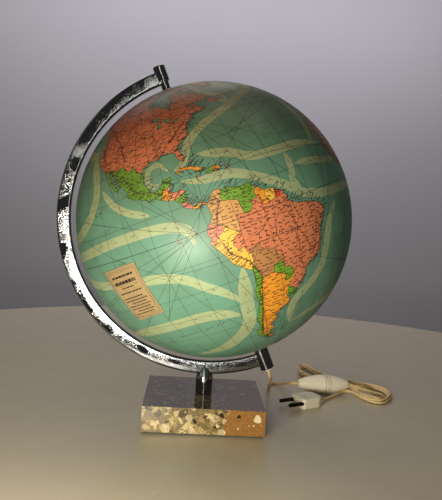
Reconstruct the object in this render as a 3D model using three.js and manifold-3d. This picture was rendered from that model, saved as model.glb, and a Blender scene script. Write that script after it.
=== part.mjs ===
// Desktop globe on a stand: a lamp-lit ball on a tilted axis, held by a chrome arm on a stone foot.
// Millimetres, +Z up. The origin is the centre of the felt's underside, under the post.
import * as THREE from 'three';
import { mergeVertices } from 'three/addons/utils/BufferGeometryUtils.js';
import Module from 'manifold-3d';

const wasm = await Module();
wasm.setup();

// ---- Driving dimensions ----
const DEGREE = Math.PI / 180;
const GAP = 0.3;

const GLOBE_RADIUS = 150;
const GLOBE_WALL = 2;
const GLOBE_CENTRE_Z = 224;
const AXIS_TILT = 23.5 * DEGREE;
const GLOBE_SEGMENTS = 40;

const BASE_LENGTH = 130;
const BASE_DEPTH = 115;
const BASE_TOP = 29;
const FELT_THICKNESS = 1.5;
const FELT_MARGIN = 2;
const BASE_RECESS_RADIUS = 15;
const BASE_RECESS_TOP = 14;

const POST_RADIUS = 9.5;
const POST_BORE_RADIUS = 3.5;
const HEAD_CONE_BOTTOM = 49;
const HEAD_CONE_TOP = 59;
const HEAD_TIP_RADIUS = 4.4;
const TIE_ROD_RADIUS = 3;
const TIE_ROD_BOTTOM = 5;
const TIE_ROD_TOP = 56.5;

const ARM_INNER = 158;
const ARM_OUTER = 173;
const ARM_THICKNESS = 8;
const ARM_ROUNDING = 2.4;

const UPPER_BARREL_RADIUS = 6.6;
const UPPER_NECK_RADIUS = 4.7;
const UPPER_NECK_END = 152.2;
const UPPER_SHOULDER = 161;
const UPPER_TOP = 178.5;
const PIN_RADIUS = 2;
const PIN_TIP = 147.4;
const PIN_COLLAR_BOTTOM = 162.8;
const PIN_COLLAR_HEIGHT = 2;
const SPRING_BOTTOM = 165.2;
const SPRING_TOP = 175.1;
const BUSH_FLANGE_RADIUS = 8;
const BUSH_INNER_END = 144.5;

const LOWER_BARREL_RADIUS = 7.8;
const LOWER_BARREL_TOP = -151.8;
const LOWER_BARREL_END = -178;
const LOWER_COUNTERBORE_RADIUS = 6.4;
const TUBE_RADIUS = 5;
const TUBE_BORE_RADIUS = 3.6;
const TUBE_TOP = -108;
const HOLDER_BOTTOM = -114;

const FLEX_RADIUS = 1.7;
const FLEX_SIDES = 8;

const SWITCH_CENTRE = [162.7, 115, 12.5];
const SWITCH_YAW = 8 * DEGREE;
const SWITCH_HALF_LENGTH = 34.5;
const SWITCH_RADIUS = 12.5;
const SWITCH_END_RADIUS = 5.2;
const SWITCH_PARTING = 4;
const SWITCH_CAVITY_RADIUS = 8.5;
const SWITCH_INSERT_LEFT = -12;
const SWITCH_INSERT_RIGHT = 16;
const SWITCH_CAVITY_MARGIN = 2;
const SWITCH_BAR_ELEVATION = 50 * DEGREE;
const SWITCH_BAR_RADIUS = 2;
const SWITCH_BAR_LOW_END = -12;
const SWITCH_BAR_HIGH_END = 14.6;

const PLUG_FACE_CENTRE = [118.4, 55.2, 0];
const PLUG_YAW = 28 * DEGREE;
const PLUG_WIDTH = 27;
const PLUG_LENGTH = 31;
const PLUG_HEIGHT = 12;
const PLUG_PIN_SPACING = 19;
const PLUG_PIN_LENGTH = 19;
const PLUG_PIN_RADIUS = 2.4;

const HANK_HEIGHT = 12;

// ---- Finishes ----
const finish = (color, roughness, metalness = 0) =>
  new THREE.MeshStandardMaterial({ color, roughness, metalness });
const chrome = finish(0xb9bcc0, 0.18, 1);
const steel = finish(0x8f9194, 0.35, 1);
const brass = finish(0xc3a35c, 0.35, 1);
const tarnished = finish(0x3a322a, 0.5, 1);
const stone = finish(0x8d8274, 0.25);
const felt = finish(0x2f3a33, 0.95);
const mapPrint = finish(0x4f8a73, 0.35);
const board = finish(0xb8ad95, 0.8);
const ivory = finish(0xddd3b6, 0.35);
const flexSheath = finish(0xbf9f6a, 0.5);
const phenolic = finish(0x2a2420, 0.4);
const lampGlass = finish(0xeeeee6, 0.3);

// ---- Solid helpers ----
// Keeps only positions, merges shared vertices, drops empty triangles and turns the faces outwards.
function closed(source) {
  const bare = source.clone();
  bare.deleteAttribute('normal');
  bare.deleteAttribute('uv');
  const merged = mergeVertices(bare, 1e-4);
  const place = merged.getAttribute('position');
  const index = merged.getIndex().array;
  const corner = (i) => new THREE.Vector3().fromBufferAttribute(place, i);
  const kept = [];
  let volume = 0;
  for (let i = 0; i < index.length; i += 3) {
    const [a, b, c] = [index[i], index[i + 1], index[i + 2]];
    if (a === b || b === c || c === a) continue;
    kept.push([a, b, c]);
    volume += corner(a).dot(corner(b).cross(corner(c)));
  }
  merged.setIndex(kept.flatMap(([a, b, c]) => (volume > 0 ? [a, b, c] : [a, c, b])));
  return merged;
}

function toManifold(geometry) {
  const solid = closed(geometry);
  return new wasm.Manifold(new wasm.Mesh({
    numProp: 3,
    vertProperties: new Float32Array(solid.getAttribute('position').array),
    triVerts: new Uint32Array(solid.getIndex().array),
  }));
}

function fromManifold(manifold) {
  const mesh = manifold.getMesh();
  const geometry = new THREE.BufferGeometry();
  geometry.setAttribute('position', new THREE.BufferAttribute(mesh.vertProperties, 3));
  geometry.setIndex(new THREE.BufferAttribute(mesh.triVerts, 1));
  return geometry;
}

const cut = (body, ...tools) =>
  fromManifold(tools.reduce((solid, tool) => solid.subtract(toManifold(tool)), toManifold(body)));

// A closed outline of [radius, z] pairs turned about Z.
function turned(outline, segments = 24) {
  const points = outline.map(([radius, z]) => new THREE.Vector2(radius, z));
  if (outline[0][0] > 0) points.push(points[0].clone());
  return new THREE.LatheGeometry(points, segments).rotateX(Math.PI / 2);
}

const rod = (radius, bottom, top, segments = 24) =>
  turned([[0, bottom], [radius, bottom], [radius, top], [0, top]], segments);

const ring = (inner, outer, bottom, top, segments = 24) =>
  turned([[inner, bottom], [outer, bottom], [outer, top], [inner, top]], segments);

const block = (x, y, z, bottom) => new THREE.BoxGeometry(x, y, z).translate(0, 0, bottom + z / 2);

function hexNut(acrossFlats, bore, bottom, top) {
  const hexagon = new THREE.CylinderGeometry(
    acrossFlats / Math.sqrt(3), acrossFlats / Math.sqrt(3), top - bottom, 6);
  hexagon.rotateX(Math.PI / 2).translate(0, 0, (bottom + top) / 2);
  return cut(hexagon, rod(bore, bottom - 1, top + 1));
}

// Points [radius, z] on a circle about the origin, between two angles from the equator plane.
function arcPoints(radius, from, to, steps) {
  return Array.from({ length: steps + 1 }, (_, i) => {
    const angle = from + (to - from) * i / steps;
    return [radius * Math.cos(angle), radius * Math.sin(angle)];
  });
}

// A flex of eight sides along a smooth curve through the points.
function flexTube(points, steps) {
  const section = new THREE.Shape(Array.from({ length: FLEX_SIDES }, (_, i) => {
    const angle = (i + 0.5) * 2 * Math.PI / FLEX_SIDES;
    return new THREE.Vector2(FLEX_RADIUS * Math.cos(angle), FLEX_RADIUS * Math.sin(angle));
  }));
  const route = new THREE.CatmullRomCurve3(points.map((p) => new THREE.Vector3(...p)));
  return new THREE.ExtrudeGeometry(section, { extrudePath: route, steps });
}

// ---- Scene graph ----
const globeOnStand = new THREE.Group();
const tiltedAxis = new THREE.Group();
tiltedAxis.position.z = GLOBE_CENTRE_Z;
tiltedAxis.rotation.y = -AXIS_TILT;
const flexSwitch = new THREE.Group();
flexSwitch.position.set(...SWITCH_CENTRE);
flexSwitch.rotation.z = SWITCH_YAW;
const plug = new THREE.Group();
plug.position.set(...PLUG_FACE_CENTRE);
plug.rotation.z = PLUG_YAW;
globeOnStand.add(tiltedAxis, flexSwitch, plug);

function addPart(group, name, geometry, material) {
  const mesh = new THREE.Mesh(closed(geometry), material);
  mesh.name = name;
  group.add(mesh);
}

// ---- Foot and post ----
function addFoot() {
  const feltPad = block(BASE_LENGTH - 2 * FELT_MARGIN, BASE_DEPTH - 2 * FELT_MARGIN, FELT_THICKNESS, 0);
  addPart(globeOnStand, 'felt_pad', feltPad, felt);

  const stoneBottom = FELT_THICKNESS + GAP;
  const slab = block(BASE_LENGTH, BASE_DEPTH, BASE_TOP - stoneBottom, stoneBottom);
  const recess = rod(BASE_RECESS_RADIUS, 0, BASE_RECESS_TOP, 32);
  const bore = rod(TIE_ROD_RADIUS + 1, 0, BASE_TOP + 1);
  addPart(globeOnStand, 'stone_base', cut(slab, recess, bore), stone);

  const washerTop = BASE_RECESS_TOP - GAP;
  const washer = ring(TIE_ROD_RADIUS + GAP, BASE_RECESS_RADIUS - 3, washerTop - 1.6, washerTop);
  addPart(globeOnStand, 'base_washer', washer, steel);
  const nutTop = washerTop - 1.6 - GAP;
  addPart(globeOnStand, 'base_nut', hexNut(10, TIE_ROD_RADIUS + GAP, nutTop - 5, nutTop), steel);
  addPart(globeOnStand, 'tie_rod', rod(TIE_ROD_RADIUS, TIE_ROD_BOTTOM, TIE_ROD_TOP, 16), steel);
}

// The post is turned from bar: a cylinder with a cone on top, slotted across for the arm.
function addPost() {
  const post = turned([
    [POST_BORE_RADIUS, BASE_TOP + GAP],
    [POST_RADIUS, BASE_TOP + GAP],
    [POST_RADIUS, HEAD_CONE_BOTTOM],
    [HEAD_TIP_RADIUS, HEAD_CONE_TOP],
    [POST_BORE_RADIUS, HEAD_CONE_TOP],
  ], 32);
  const slot = ring(ARM_INNER - 10, ARM_OUTER + GAP, -ARM_THICKNESS / 2 - GAP, ARM_THICKNESS / 2 + GAP, 180);
  slot.rotateX(Math.PI / 2).translate(0, 0, GLOBE_CENTRE_Z);
  addPart(globeOnStand, 'post', cut(post, slot), chrome);
}

// ---- Arm ----
// A flat C about the globe's centre, with rounded edges, between the two barrels on its left side.
function addArm() {
  const outer = ARM_OUTER - ARM_ROUNDING;
  const inner = ARM_INNER + ARM_ROUNDING;
  const topAngle = (90 + 1.2) * DEGREE;
  const bottomAngle = (270 - 1.6) * DEGREE;
  const outline = new THREE.Shape();
  outline.absarc(0, 0, outer, topAngle, bottomAngle, false);
  outline.absarc(0, 0, inner, bottomAngle, topAngle, true);
  const arm = new THREE.ExtrudeGeometry(outline, {
    depth: ARM_THICKNESS - 2 * ARM_ROUNDING,
    curveSegments: 22,
    bevelSize: ARM_ROUNDING,
    bevelThickness: ARM_ROUNDING,
    bevelSegments: 2,
  });
  arm.translate(0, 0, -ARM_THICKNESS / 2 + ARM_ROUNDING).rotateX(Math.PI / 2);
  const upperBarrel = rod(UPPER_BARREL_RADIUS + GAP, UPPER_SHOULDER - GAP, UPPER_TOP + 1);
  const upperNeck = rod(UPPER_NECK_RADIUS + GAP, ARM_INNER - 5, UPPER_TOP);
  const lowerBarrel = rod(LOWER_BARREL_RADIUS + GAP, LOWER_BARREL_END - 1, -ARM_INNER + 5);
  const tapping = rod(TIE_ROD_RADIUS + GAP, 0, TIE_ROD_TOP + GAP, 16);
  tapping.translate(0, 0, -GLOBE_CENTRE_Z).rotateY(AXIS_TILT);
  addPart(tiltedAxis, 'meridian_arm', cut(arm, upperBarrel, upperNeck, lowerBarrel, tapping), chrome);
}

// ---- Upper bearing: a sprung pin in a barrel ----
function addUpperBearing() {
  const chamberRadius = 4.4;
  addPart(tiltedAxis, 'upper_ferrule', turned([
    [PIN_RADIUS + GAP, UPPER_NECK_END],
    [UPPER_NECK_RADIUS, UPPER_NECK_END],
    [UPPER_NECK_RADIUS, UPPER_SHOULDER],
    [UPPER_BARREL_RADIUS - 0.4, UPPER_SHOULDER],
    [UPPER_BARREL_RADIUS, UPPER_SHOULDER + 0.4],
    [UPPER_BARREL_RADIUS, UPPER_TOP - 0.8],
    [UPPER_BARREL_RADIUS - 0.8, UPPER_TOP],
    [chamberRadius, UPPER_TOP],
    [chamberRadius, PIN_COLLAR_BOTTOM - GAP],
    [PIN_RADIUS + GAP, PIN_COLLAR_BOTTOM - GAP],
  ]), chrome);
  const cap = rod(chamberRadius - GAP, SPRING_TOP + GAP, UPPER_TOP - 0.2);
  addPart(tiltedAxis, 'upper_ferrule_cap', cap, chrome);
  addPart(tiltedAxis, 'top_pivot_pin', turned([
    [0, PIN_TIP],
    [PIN_RADIUS - 0.6, PIN_TIP],
    [PIN_RADIUS, PIN_TIP + 0.6],
    [PIN_RADIUS, PIN_COLLAR_BOTTOM],
    [chamberRadius - GAP, PIN_COLLAR_BOTTOM],
    [chamberRadius - GAP, PIN_COLLAR_BOTTOM + PIN_COLLAR_HEIGHT],
    [0, PIN_COLLAR_BOTTOM + PIN_COLLAR_HEIGHT],
  ]), steel);
  addPart(tiltedAxis, 'pivot_spring', pivotSpring(), steel);
}

function pivotSpring() {
  const wireRadius = 0.4;
  const coilRadius = 3.3;
  const turns = 5;
  const stepsPerTurn = 10;
  const section = new THREE.Shape().absarc(0, 0, wireRadius, 0, 2 * Math.PI);
  const bottom = SPRING_BOTTOM + wireRadius;
  const rise = SPRING_TOP - SPRING_BOTTOM - 2 * wireRadius;
  const points = Array.from({ length: turns * stepsPerTurn + 1 }, (_, i) => {
    const angle = i * 2 * Math.PI / stepsPerTurn;
    const height = bottom + rise * i / (turns * stepsPerTurn);
    return new THREE.Vector3(coilRadius * Math.cos(angle), coilRadius * Math.sin(angle), height);
  });
  const helix = new THREE.CatmullRomCurve3(points);
  return new THREE.ExtrudeGeometry(section, {
    extrudePath: helix,
    steps: turns * stepsPerTurn,
    curveSegments: 3,
  });
}

// ---- Ball: two shells, the ring that joins them and a bush in each pole ----
function addBall() {
  const outer = GLOBE_RADIUS;
  const inner = GLOBE_RADIUS - GLOBE_WALL;
  const spigotRadius = 4.8;
  const lipRadius = 11;
  const ringHalf = 6;
  const lipEnd = inner - 0.7;
  const shell = (holeRadius, side) => {
    const seam = 0.2;
    const outerArc = arcPoints(outer, Math.asin(seam / outer), Math.acos(holeRadius / outer), 9);
    const innerArc = arcPoints(inner, Math.acos(holeRadius / inner), Math.asin(seam / inner), 6);
    return turned([...outerArc, ...innerArc].map(([r, z]) => [r, side * z]), GLOBE_SEGMENTS);
  };
  addPart(tiltedAxis, 'north_globe_shell', shell(spigotRadius + 0.4, 1), mapPrint);
  addPart(tiltedAxis, 'south_globe_shell', shell(BUSH_FLANGE_RADIUS + GAP, -1), mapPrint);
  const equatorRing = ring(inner - 3.4, inner - 1.4, -ringHalf, ringHalf, GLOBE_SEGMENTS);
  addPart(tiltedAxis, 'equator_ring', equatorRing, board);

  addPart(tiltedAxis, 'north_pole_bush', turned([
    [PIN_RADIUS + GAP, BUSH_INNER_END],
    [spigotRadius, BUSH_INNER_END],
    [spigotRadius, outer + 0.2],
    [BUSH_FLANGE_RADIUS, outer + 0.2],
    [BUSH_FLANGE_RADIUS - 0.6, outer + 1.4],
    [PIN_RADIUS + GAP, outer + 1.8],
  ]), brass);
  addPart(tiltedAxis, 'south_pole_bush', turned([
    [TUBE_RADIUS + GAP, -outer - 0.5],
    [BUSH_FLANGE_RADIUS, -outer - 0.5],
    [BUSH_FLANGE_RADIUS, -lipEnd],
    [lipRadius, -lipEnd + 0.2],
    [lipRadius, -BUSH_INNER_END],
    [TUBE_RADIUS + GAP, -BUSH_INNER_END],
  ]), brass);
}

// ---- Lower bearing: a hollow tube in a barrel, which also carries the lamp and its lead ----
function addLowerBearing() {
  const boreEnd = LOWER_BARREL_END + 10;
  const washerBottom = LOWER_BARREL_TOP + GAP;
  const washer = ring(TUBE_RADIUS + GAP, LOWER_BARREL_RADIUS - GAP, washerBottom, washerBottom + 0.7);
  addPart(tiltedAxis, 'bearing_washer', washer, steel);
  addPart(tiltedAxis, 'lower_ferrule', turned([
    [LOWER_COUNTERBORE_RADIUS, LOWER_BARREL_END],
    [LOWER_BARREL_RADIUS - 0.3, LOWER_BARREL_END],
    [LOWER_BARREL_RADIUS, LOWER_BARREL_END + 0.3],
    [LOWER_BARREL_RADIUS, LOWER_BARREL_TOP - 0.3],
    [LOWER_BARREL_RADIUS - 0.3, LOWER_BARREL_TOP],
    [TUBE_RADIUS + GAP, LOWER_BARREL_TOP],
    [TUBE_RADIUS + GAP, boreEnd],
    [LOWER_COUNTERBORE_RADIUS, boreEnd],
  ]), chrome);
  addPart(tiltedAxis, 'lower_pivot_tube', ring(TUBE_BORE_RADIUS, TUBE_RADIUS, boreEnd + 1, TUBE_TOP), brass);
  const nutBottom = -BUSH_INNER_END + 2;
  addPart(tiltedAxis, 'tube_nut', hexNut(16, TUBE_RADIUS + GAP, nutBottom, nutBottom + 4), brass);
  addPart(tiltedAxis, 'inner_lead', rod(FLEX_RADIUS, LOWER_BARREL_END - 2, TUBE_TOP, FLEX_SIDES), flexSheath);
  const grommetBore = FLEX_RADIUS + GAP;
  const grommetEnd = LOWER_BARREL_END - 2.6;
  addPart(tiltedAxis, 'cord_grommet', turned([
    [grommetBore, grommetEnd],
    [3, grommetEnd],
    [4.4, LOWER_BARREL_END - GAP],
    [LOWER_COUNTERBORE_RADIUS - GAP, LOWER_BARREL_END + GAP],
    [LOWER_COUNTERBORE_RADIUS - GAP, boreEnd - GAP],
    [grommetBore, boreEnd - GAP],
  ]), phenolic);
}

// ---- Lamp ----
function addLamp() {
  const holderRadius = 12.5;
  const sleeveBore = 8.6;
  const capRadius = 6.9;
  const splitZ = HOLDER_BOTTOM + 15;
  const holderTop = HOLDER_BOTTOM + 40;
  addPart(tiltedAxis, 'lamp_holder_base', turned([
    [TUBE_RADIUS + GAP, HOLDER_BOTTOM],
    [holderRadius - 3, HOLDER_BOTTOM],
    [holderRadius, HOLDER_BOTTOM + 4],
    [holderRadius, splitZ],
    [holderRadius - 2, splitZ],
    [holderRadius - 2, HOLDER_BOTTOM + 5],
    [TUBE_RADIUS + GAP, HOLDER_BOTTOM + 5],
  ]), phenolic);
  const sleeve = ring(sleeveBore, holderRadius, splitZ + GAP, holderTop);
  addPart(tiltedAxis, 'lamp_holder_sleeve', sleeve, phenolic);
  addPart(tiltedAxis, 'holder_ring', ring(holderRadius + GAP, 16.5, splitZ + 6, splitZ + 11), phenolic);
  addPart(tiltedAxis, 'holder_contact', rod(5, splitZ - 3, splitZ, 16), brass);
  addPart(tiltedAxis, 'lamp_cap', turned([
    [0, splitZ + GAP],
    [2.5, splitZ + GAP],
    [capRadius, splitZ + 4],
    [capRadius, holderTop - 1],
    [0, holderTop - 1],
  ]), brass);

  const neck = holderTop - 1 + GAP;
  const bulge = neck + 42;
  const bulbRadius = 22;
  const bulbWall = 1;
  const bulbHalf = (radius) => [
    [radius * 0.33, neck],
    [radius * 0.42, neck + 10],
    [radius * 0.8, neck + 25],
    ...arcPoints(radius, -0.35, Math.PI / 2, 6).map(([r, z]) => [r, z + bulge]),
  ];
  const outside = bulbHalf(bulbRadius);
  const inside = bulbHalf(bulbRadius - bulbWall).reverse();
  const bulb = turned([...outside, ...inside].map(([r, z]) => [Math.max(r, 0), z]), 16);
  addPart(tiltedAxis, 'lamp_bulb', bulb, lampGlass);
}

// ---- Switch on the flex: two olive halves, a contact block and a bar pushed through them ----
const switchOutline = (s) => {
  const along = s / SWITCH_HALF_LENGTH;
  return SWITCH_END_RADIUS + (SWITCH_RADIUS - SWITCH_END_RADIUS) * (1 - along ** 2);
};

function switchShell(from, to, cavityEnd) {
  const steps = 7;
  const outer = Array.from({ length: steps + 1 }, (_, i) => {
    const s = from + (to - from) * i / steps;
    return [switchOutline(s), s];
  });
  const bore = FLEX_RADIUS + GAP;
  const cavity = [[SWITCH_CAVITY_RADIUS, to], [SWITCH_CAVITY_RADIUS, cavityEnd]];
  const inner = [...cavity, [bore, cavityEnd], [bore, from]];
  return turned([...outer, ...inner], 20).rotateY(Math.PI / 2);
}

function alongBar(geometry) {
  return geometry.rotateX(Math.PI / 2 - SWITCH_BAR_ELEVATION);
}

function addSwitch() {
  const half = GAP / 2;
  const barHole = () => alongBar(rod(SWITCH_BAR_RADIUS + GAP, -20, 20, 16));
  const cavityLeft = SWITCH_INSERT_LEFT - SWITCH_CAVITY_MARGIN;
  const cavityRight = SWITCH_INSERT_RIGHT + SWITCH_CAVITY_MARGIN;
  const left = switchShell(-SWITCH_HALF_LENGTH, SWITCH_PARTING - half, cavityLeft);
  const right = switchShell(SWITCH_HALF_LENGTH, SWITCH_PARTING + half, cavityRight);
  addPart(flexSwitch, 'switch_left_half', cut(left, barHole()), ivory);
  addPart(flexSwitch, 'switch_right_half', right, ivory);
  const insert = rod(SWITCH_CAVITY_RADIUS - GAP, SWITCH_INSERT_LEFT, SWITCH_INSERT_RIGHT);
  insert.rotateY(Math.PI / 2);
  addPart(flexSwitch, 'switch_insert', cut(insert, barHole()), phenolic);
  const bar = turned([
    [0, SWITCH_BAR_LOW_END],
    [SWITCH_BAR_RADIUS, SWITCH_BAR_LOW_END],
    [SWITCH_BAR_RADIUS, SWITCH_BAR_HIGH_END - 0.6],
    [SWITCH_BAR_RADIUS - 0.7, SWITCH_BAR_HIGH_END],
    [0, SWITCH_BAR_HIGH_END],
  ], 16);
  addPart(flexSwitch, 'switch_push_bar', alongBar(bar), ivory);
}

// ---- Plug: two halves round a pair of pins, held by one screw. +X runs from its face to its flex ----
function plugSlab(bottom, top) {
  const front = 3;
  const back = 9;
  const side = PLUG_WIDTH / 2;
  const outline = new THREE.Shape();
  outline.moveTo(front, -side);
  outline.lineTo(PLUG_LENGTH - back, -side);
  outline.absarc(PLUG_LENGTH - back, -side + back, back, -Math.PI / 2, 0, false);
  outline.absarc(PLUG_LENGTH - back, side - back, back, 0, Math.PI / 2, false);
  outline.lineTo(front, side);
  outline.lineTo(0, side - front);
  outline.lineTo(0, -side + front);
  const depth = top - bottom;
  const slab = new THREE.ExtrudeGeometry(outline, { depth, bevelEnabled: false, curveSegments: 6 });
  return slab.translate(0, 0, bottom);
}

function addPlug() {
  const middle = PLUG_HEIGHT / 2;
  const buried = 9;
  const screwX = 11;
  const screwRadius = 1.4;
  const screwHeadRadius = 2.8;
  const screwHeadBottom = PLUG_HEIGHT - 2.6;
  const screwTop = PLUG_HEIGHT - 1;
  const alongX = (radius, from, to, y) =>
    rod(radius, from, to, 16).rotateY(Math.PI / 2).translate(0, y, middle);
  const pinRows = [-PLUG_PIN_SPACING / 2, PLUG_PIN_SPACING / 2];
  const pinHoles = () => pinRows.map((y) => alongX(PLUG_PIN_RADIUS + GAP, -1, buried + GAP, y));
  const flexHole = () => alongX(FLEX_RADIUS + GAP, PLUG_LENGTH - 12, PLUG_LENGTH + 1, 0);
  const screwHole = () => rod(screwRadius + 0.4, 1.5, PLUG_HEIGHT + 1, 16).translate(screwX, 0, 0);
  const screwSeat = rod(screwHeadRadius + 0.4, PLUG_HEIGHT - 3, PLUG_HEIGHT + 1).translate(screwX, 0, 0);

  const lower = cut(plugSlab(0, middle - GAP / 2), ...pinHoles(), flexHole(), screwHole());
  const upperSlab = plugSlab(middle + GAP / 2, PLUG_HEIGHT);
  const upper = cut(upperSlab, ...pinHoles(), flexHole(), screwHole(), screwSeat);
  addPart(plug, 'plug_lower_half', lower, ivory);
  addPart(plug, 'plug_upper_half', upper, ivory);
  ['plug_pin_near', 'plug_pin_far'].forEach((name, i) => {
    addPart(plug, name, alongX(PLUG_PIN_RADIUS, -PLUG_PIN_LENGTH, buried, pinRows[i]), tarnished);
  });
  const screw = turned([
    [0, 2.2],
    [screwRadius, 2.2],
    [screwRadius, screwHeadBottom],
    [screwHeadRadius, screwHeadBottom],
    [screwHeadRadius, screwTop],
    [0, screwTop],
  ], 16).translate(screwX, 0, 0);
  addPart(plug, 'plug_screw', screw, steel);
}

// ---- Flex in its runs ----
// It slopes back from the lower barrel to the table, turns round and rises to the switch.
const FERRULE_TO_SWITCH = [
  [72.3, 0, 57.75], [74.1, 1, 53.7], [75.5, 4.2, 49.9], [77, 11.5, 46.3], [80.5, 38, 35.5], [84, 67, 24.2],
  [87.5, 96, 13.2], [90.3, 118, 5.6], [92.6, 131.5, 2.3], [95.4, 138.8, 1.8], [101.8, 142.2, 1.8],
  [108.2, 139.4, 2.6], [111.8, 132.6, 5], [114.3, 125.4, 8], [116.6, 118.8, 10.4], [120.6, 113, 12],
  [124.4, 110.7, 12.5], [128.2, 110.1, 12.5],
];
const SWITCH_TO_HANK = [[197.2, 119.85, 12.5], [200, 120.2, 12.3], [203.9, 120.6, 10.4]];
const HANK_TO_PLUG = [
  [202.7, 124.3, 1.8], [199, 125.7, 1.8], [195, 125.2, 1.8], [190.6, 121.5, 1.8], [185.5, 114, 1.8],
  [179, 106, 1.8], [171.5, 97.5, 1.8], [164.5, 89.5, 1.9], [157.5, 81.5, 2.8], [151.5, 75, 4.8],
  [146.6, 70.1, 6],
];

// The hank lies as a long oval whose waist passes behind the switch.
const HANK_OUTLINE = [
  [144, 184], [141.5, 206], [147, 228], [159, 237], [171, 231], [184, 206], [200, 184], [221, 172],
  [243, 157], [258, 138], [259, 113], [247, 91], [231, 77], [217, 85], [208, 103], [204.5, 121],
  [200, 139], [184, 154], [160, 165],
];

function addFlex() {
  addPart(globeOnStand, 'flex_to_switch', flexTube(FERRULE_TO_SWITCH, 34), flexSheath);
  addPart(globeOnStand, 'flex_to_hank', flexTube(SWITCH_TO_HANK, 3), flexSheath);
  addPart(globeOnStand, 'flex_to_plug', flexTube(HANK_TO_PLUG, 22), flexSheath);
  const outline = new THREE.CatmullRomCurve3(HANK_OUTLINE.map(([x, y]) => new THREE.Vector3(x, y, 0)), true);
  const shape = new THREE.Shape(outline.getPoints(40).slice(0, -1).map((p) => new THREE.Vector2(p.x, p.y)));
  const hank = new THREE.ExtrudeGeometry(shape, { depth: HANK_HEIGHT, bevelEnabled: false });
  addPart(globeOnStand, 'flex_hank', hank, flexSheath);
}

addFoot();
addPost();
addArm();
addUpperBearing();
addBall();
addLowerBearing();
addLamp();
addSwitch();
addPlug();
addFlex();

export default globeOnStand;
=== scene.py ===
"""Looks of a desk globe: a paper-covered ball in a chromed half arm on a terrazzo block, with its
ivory flex, in-line switch and two-pin plug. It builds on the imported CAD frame, and the pieces made
here repeat the CAD's sizes, in millimetres."""

import math
import random

import bpy
import numpy as np
from mathutils import Matrix, Vector
from mathutils.geometry import delaunay_2d_cdt


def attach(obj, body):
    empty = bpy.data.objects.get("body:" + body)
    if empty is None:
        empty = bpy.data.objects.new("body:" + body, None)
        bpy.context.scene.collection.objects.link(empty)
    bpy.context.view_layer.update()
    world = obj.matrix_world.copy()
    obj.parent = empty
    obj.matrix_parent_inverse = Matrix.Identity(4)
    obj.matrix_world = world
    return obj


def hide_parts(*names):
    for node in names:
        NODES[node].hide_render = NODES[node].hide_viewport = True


MM = 0.001
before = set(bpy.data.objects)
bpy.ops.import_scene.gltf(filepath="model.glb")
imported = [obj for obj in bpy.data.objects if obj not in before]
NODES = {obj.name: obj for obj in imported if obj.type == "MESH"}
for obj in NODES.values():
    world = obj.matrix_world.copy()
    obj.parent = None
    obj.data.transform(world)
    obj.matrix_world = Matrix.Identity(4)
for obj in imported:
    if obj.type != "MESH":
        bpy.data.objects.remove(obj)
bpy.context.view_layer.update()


# ---- Camera ----
CAMERA_AZIMUTH = math.radians(-2.77)
CAMERA_ELEVATION = math.radians(4.26)
CAMERA_ROLL = math.radians(3.65)
CAMERA_TARGET = Vector((8.87, 0, 190.62)) * MM
CAMERA_DISTANCE = 687.6 * MM
CAMERA_LENS = 44.31
CAMERA_SHIFT = (0.0015, 0.0022)


def add_camera():
    flat = math.cos(CAMERA_ELEVATION)
    back = Vector((
        math.sin(CAMERA_AZIMUTH) * flat,
        -math.cos(CAMERA_AZIMUTH) * flat,
        math.sin(CAMERA_ELEVATION),
    ))
    right = Vector((0, 0, 1)).cross(back).normalized()
    up = back.cross(right)
    rolled_right = math.cos(CAMERA_ROLL) * right + math.sin(CAMERA_ROLL) * up
    rolled_up = math.cos(CAMERA_ROLL) * up - math.sin(CAMERA_ROLL) * right
    data = bpy.data.cameras.new("camera")
    data.lens = CAMERA_LENS
    data.shift_x, data.shift_y = CAMERA_SHIFT
    camera = bpy.data.objects.new("camera", data)
    place = Matrix((rolled_right, rolled_up, back)).transposed().to_4x4()
    place.translation = CAMERA_TARGET + back * CAMERA_DISTANCE
    camera.matrix_world = place
    bpy.context.scene.collection.objects.link(camera)
    bpy.context.scene.camera = camera


# ---- Node materials ----
def srgb(red, green, blue):
    """A screen colour of 0 to 255 as the linear RGBA that the shaders take."""
    def straight(value):
        value /= 255
        return value / 12.92 if value <= 0.04045 else ((value + 0.055) / 1.055) ** 2.4
    return (straight(red), straight(green), straight(blue), 1.0)


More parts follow.
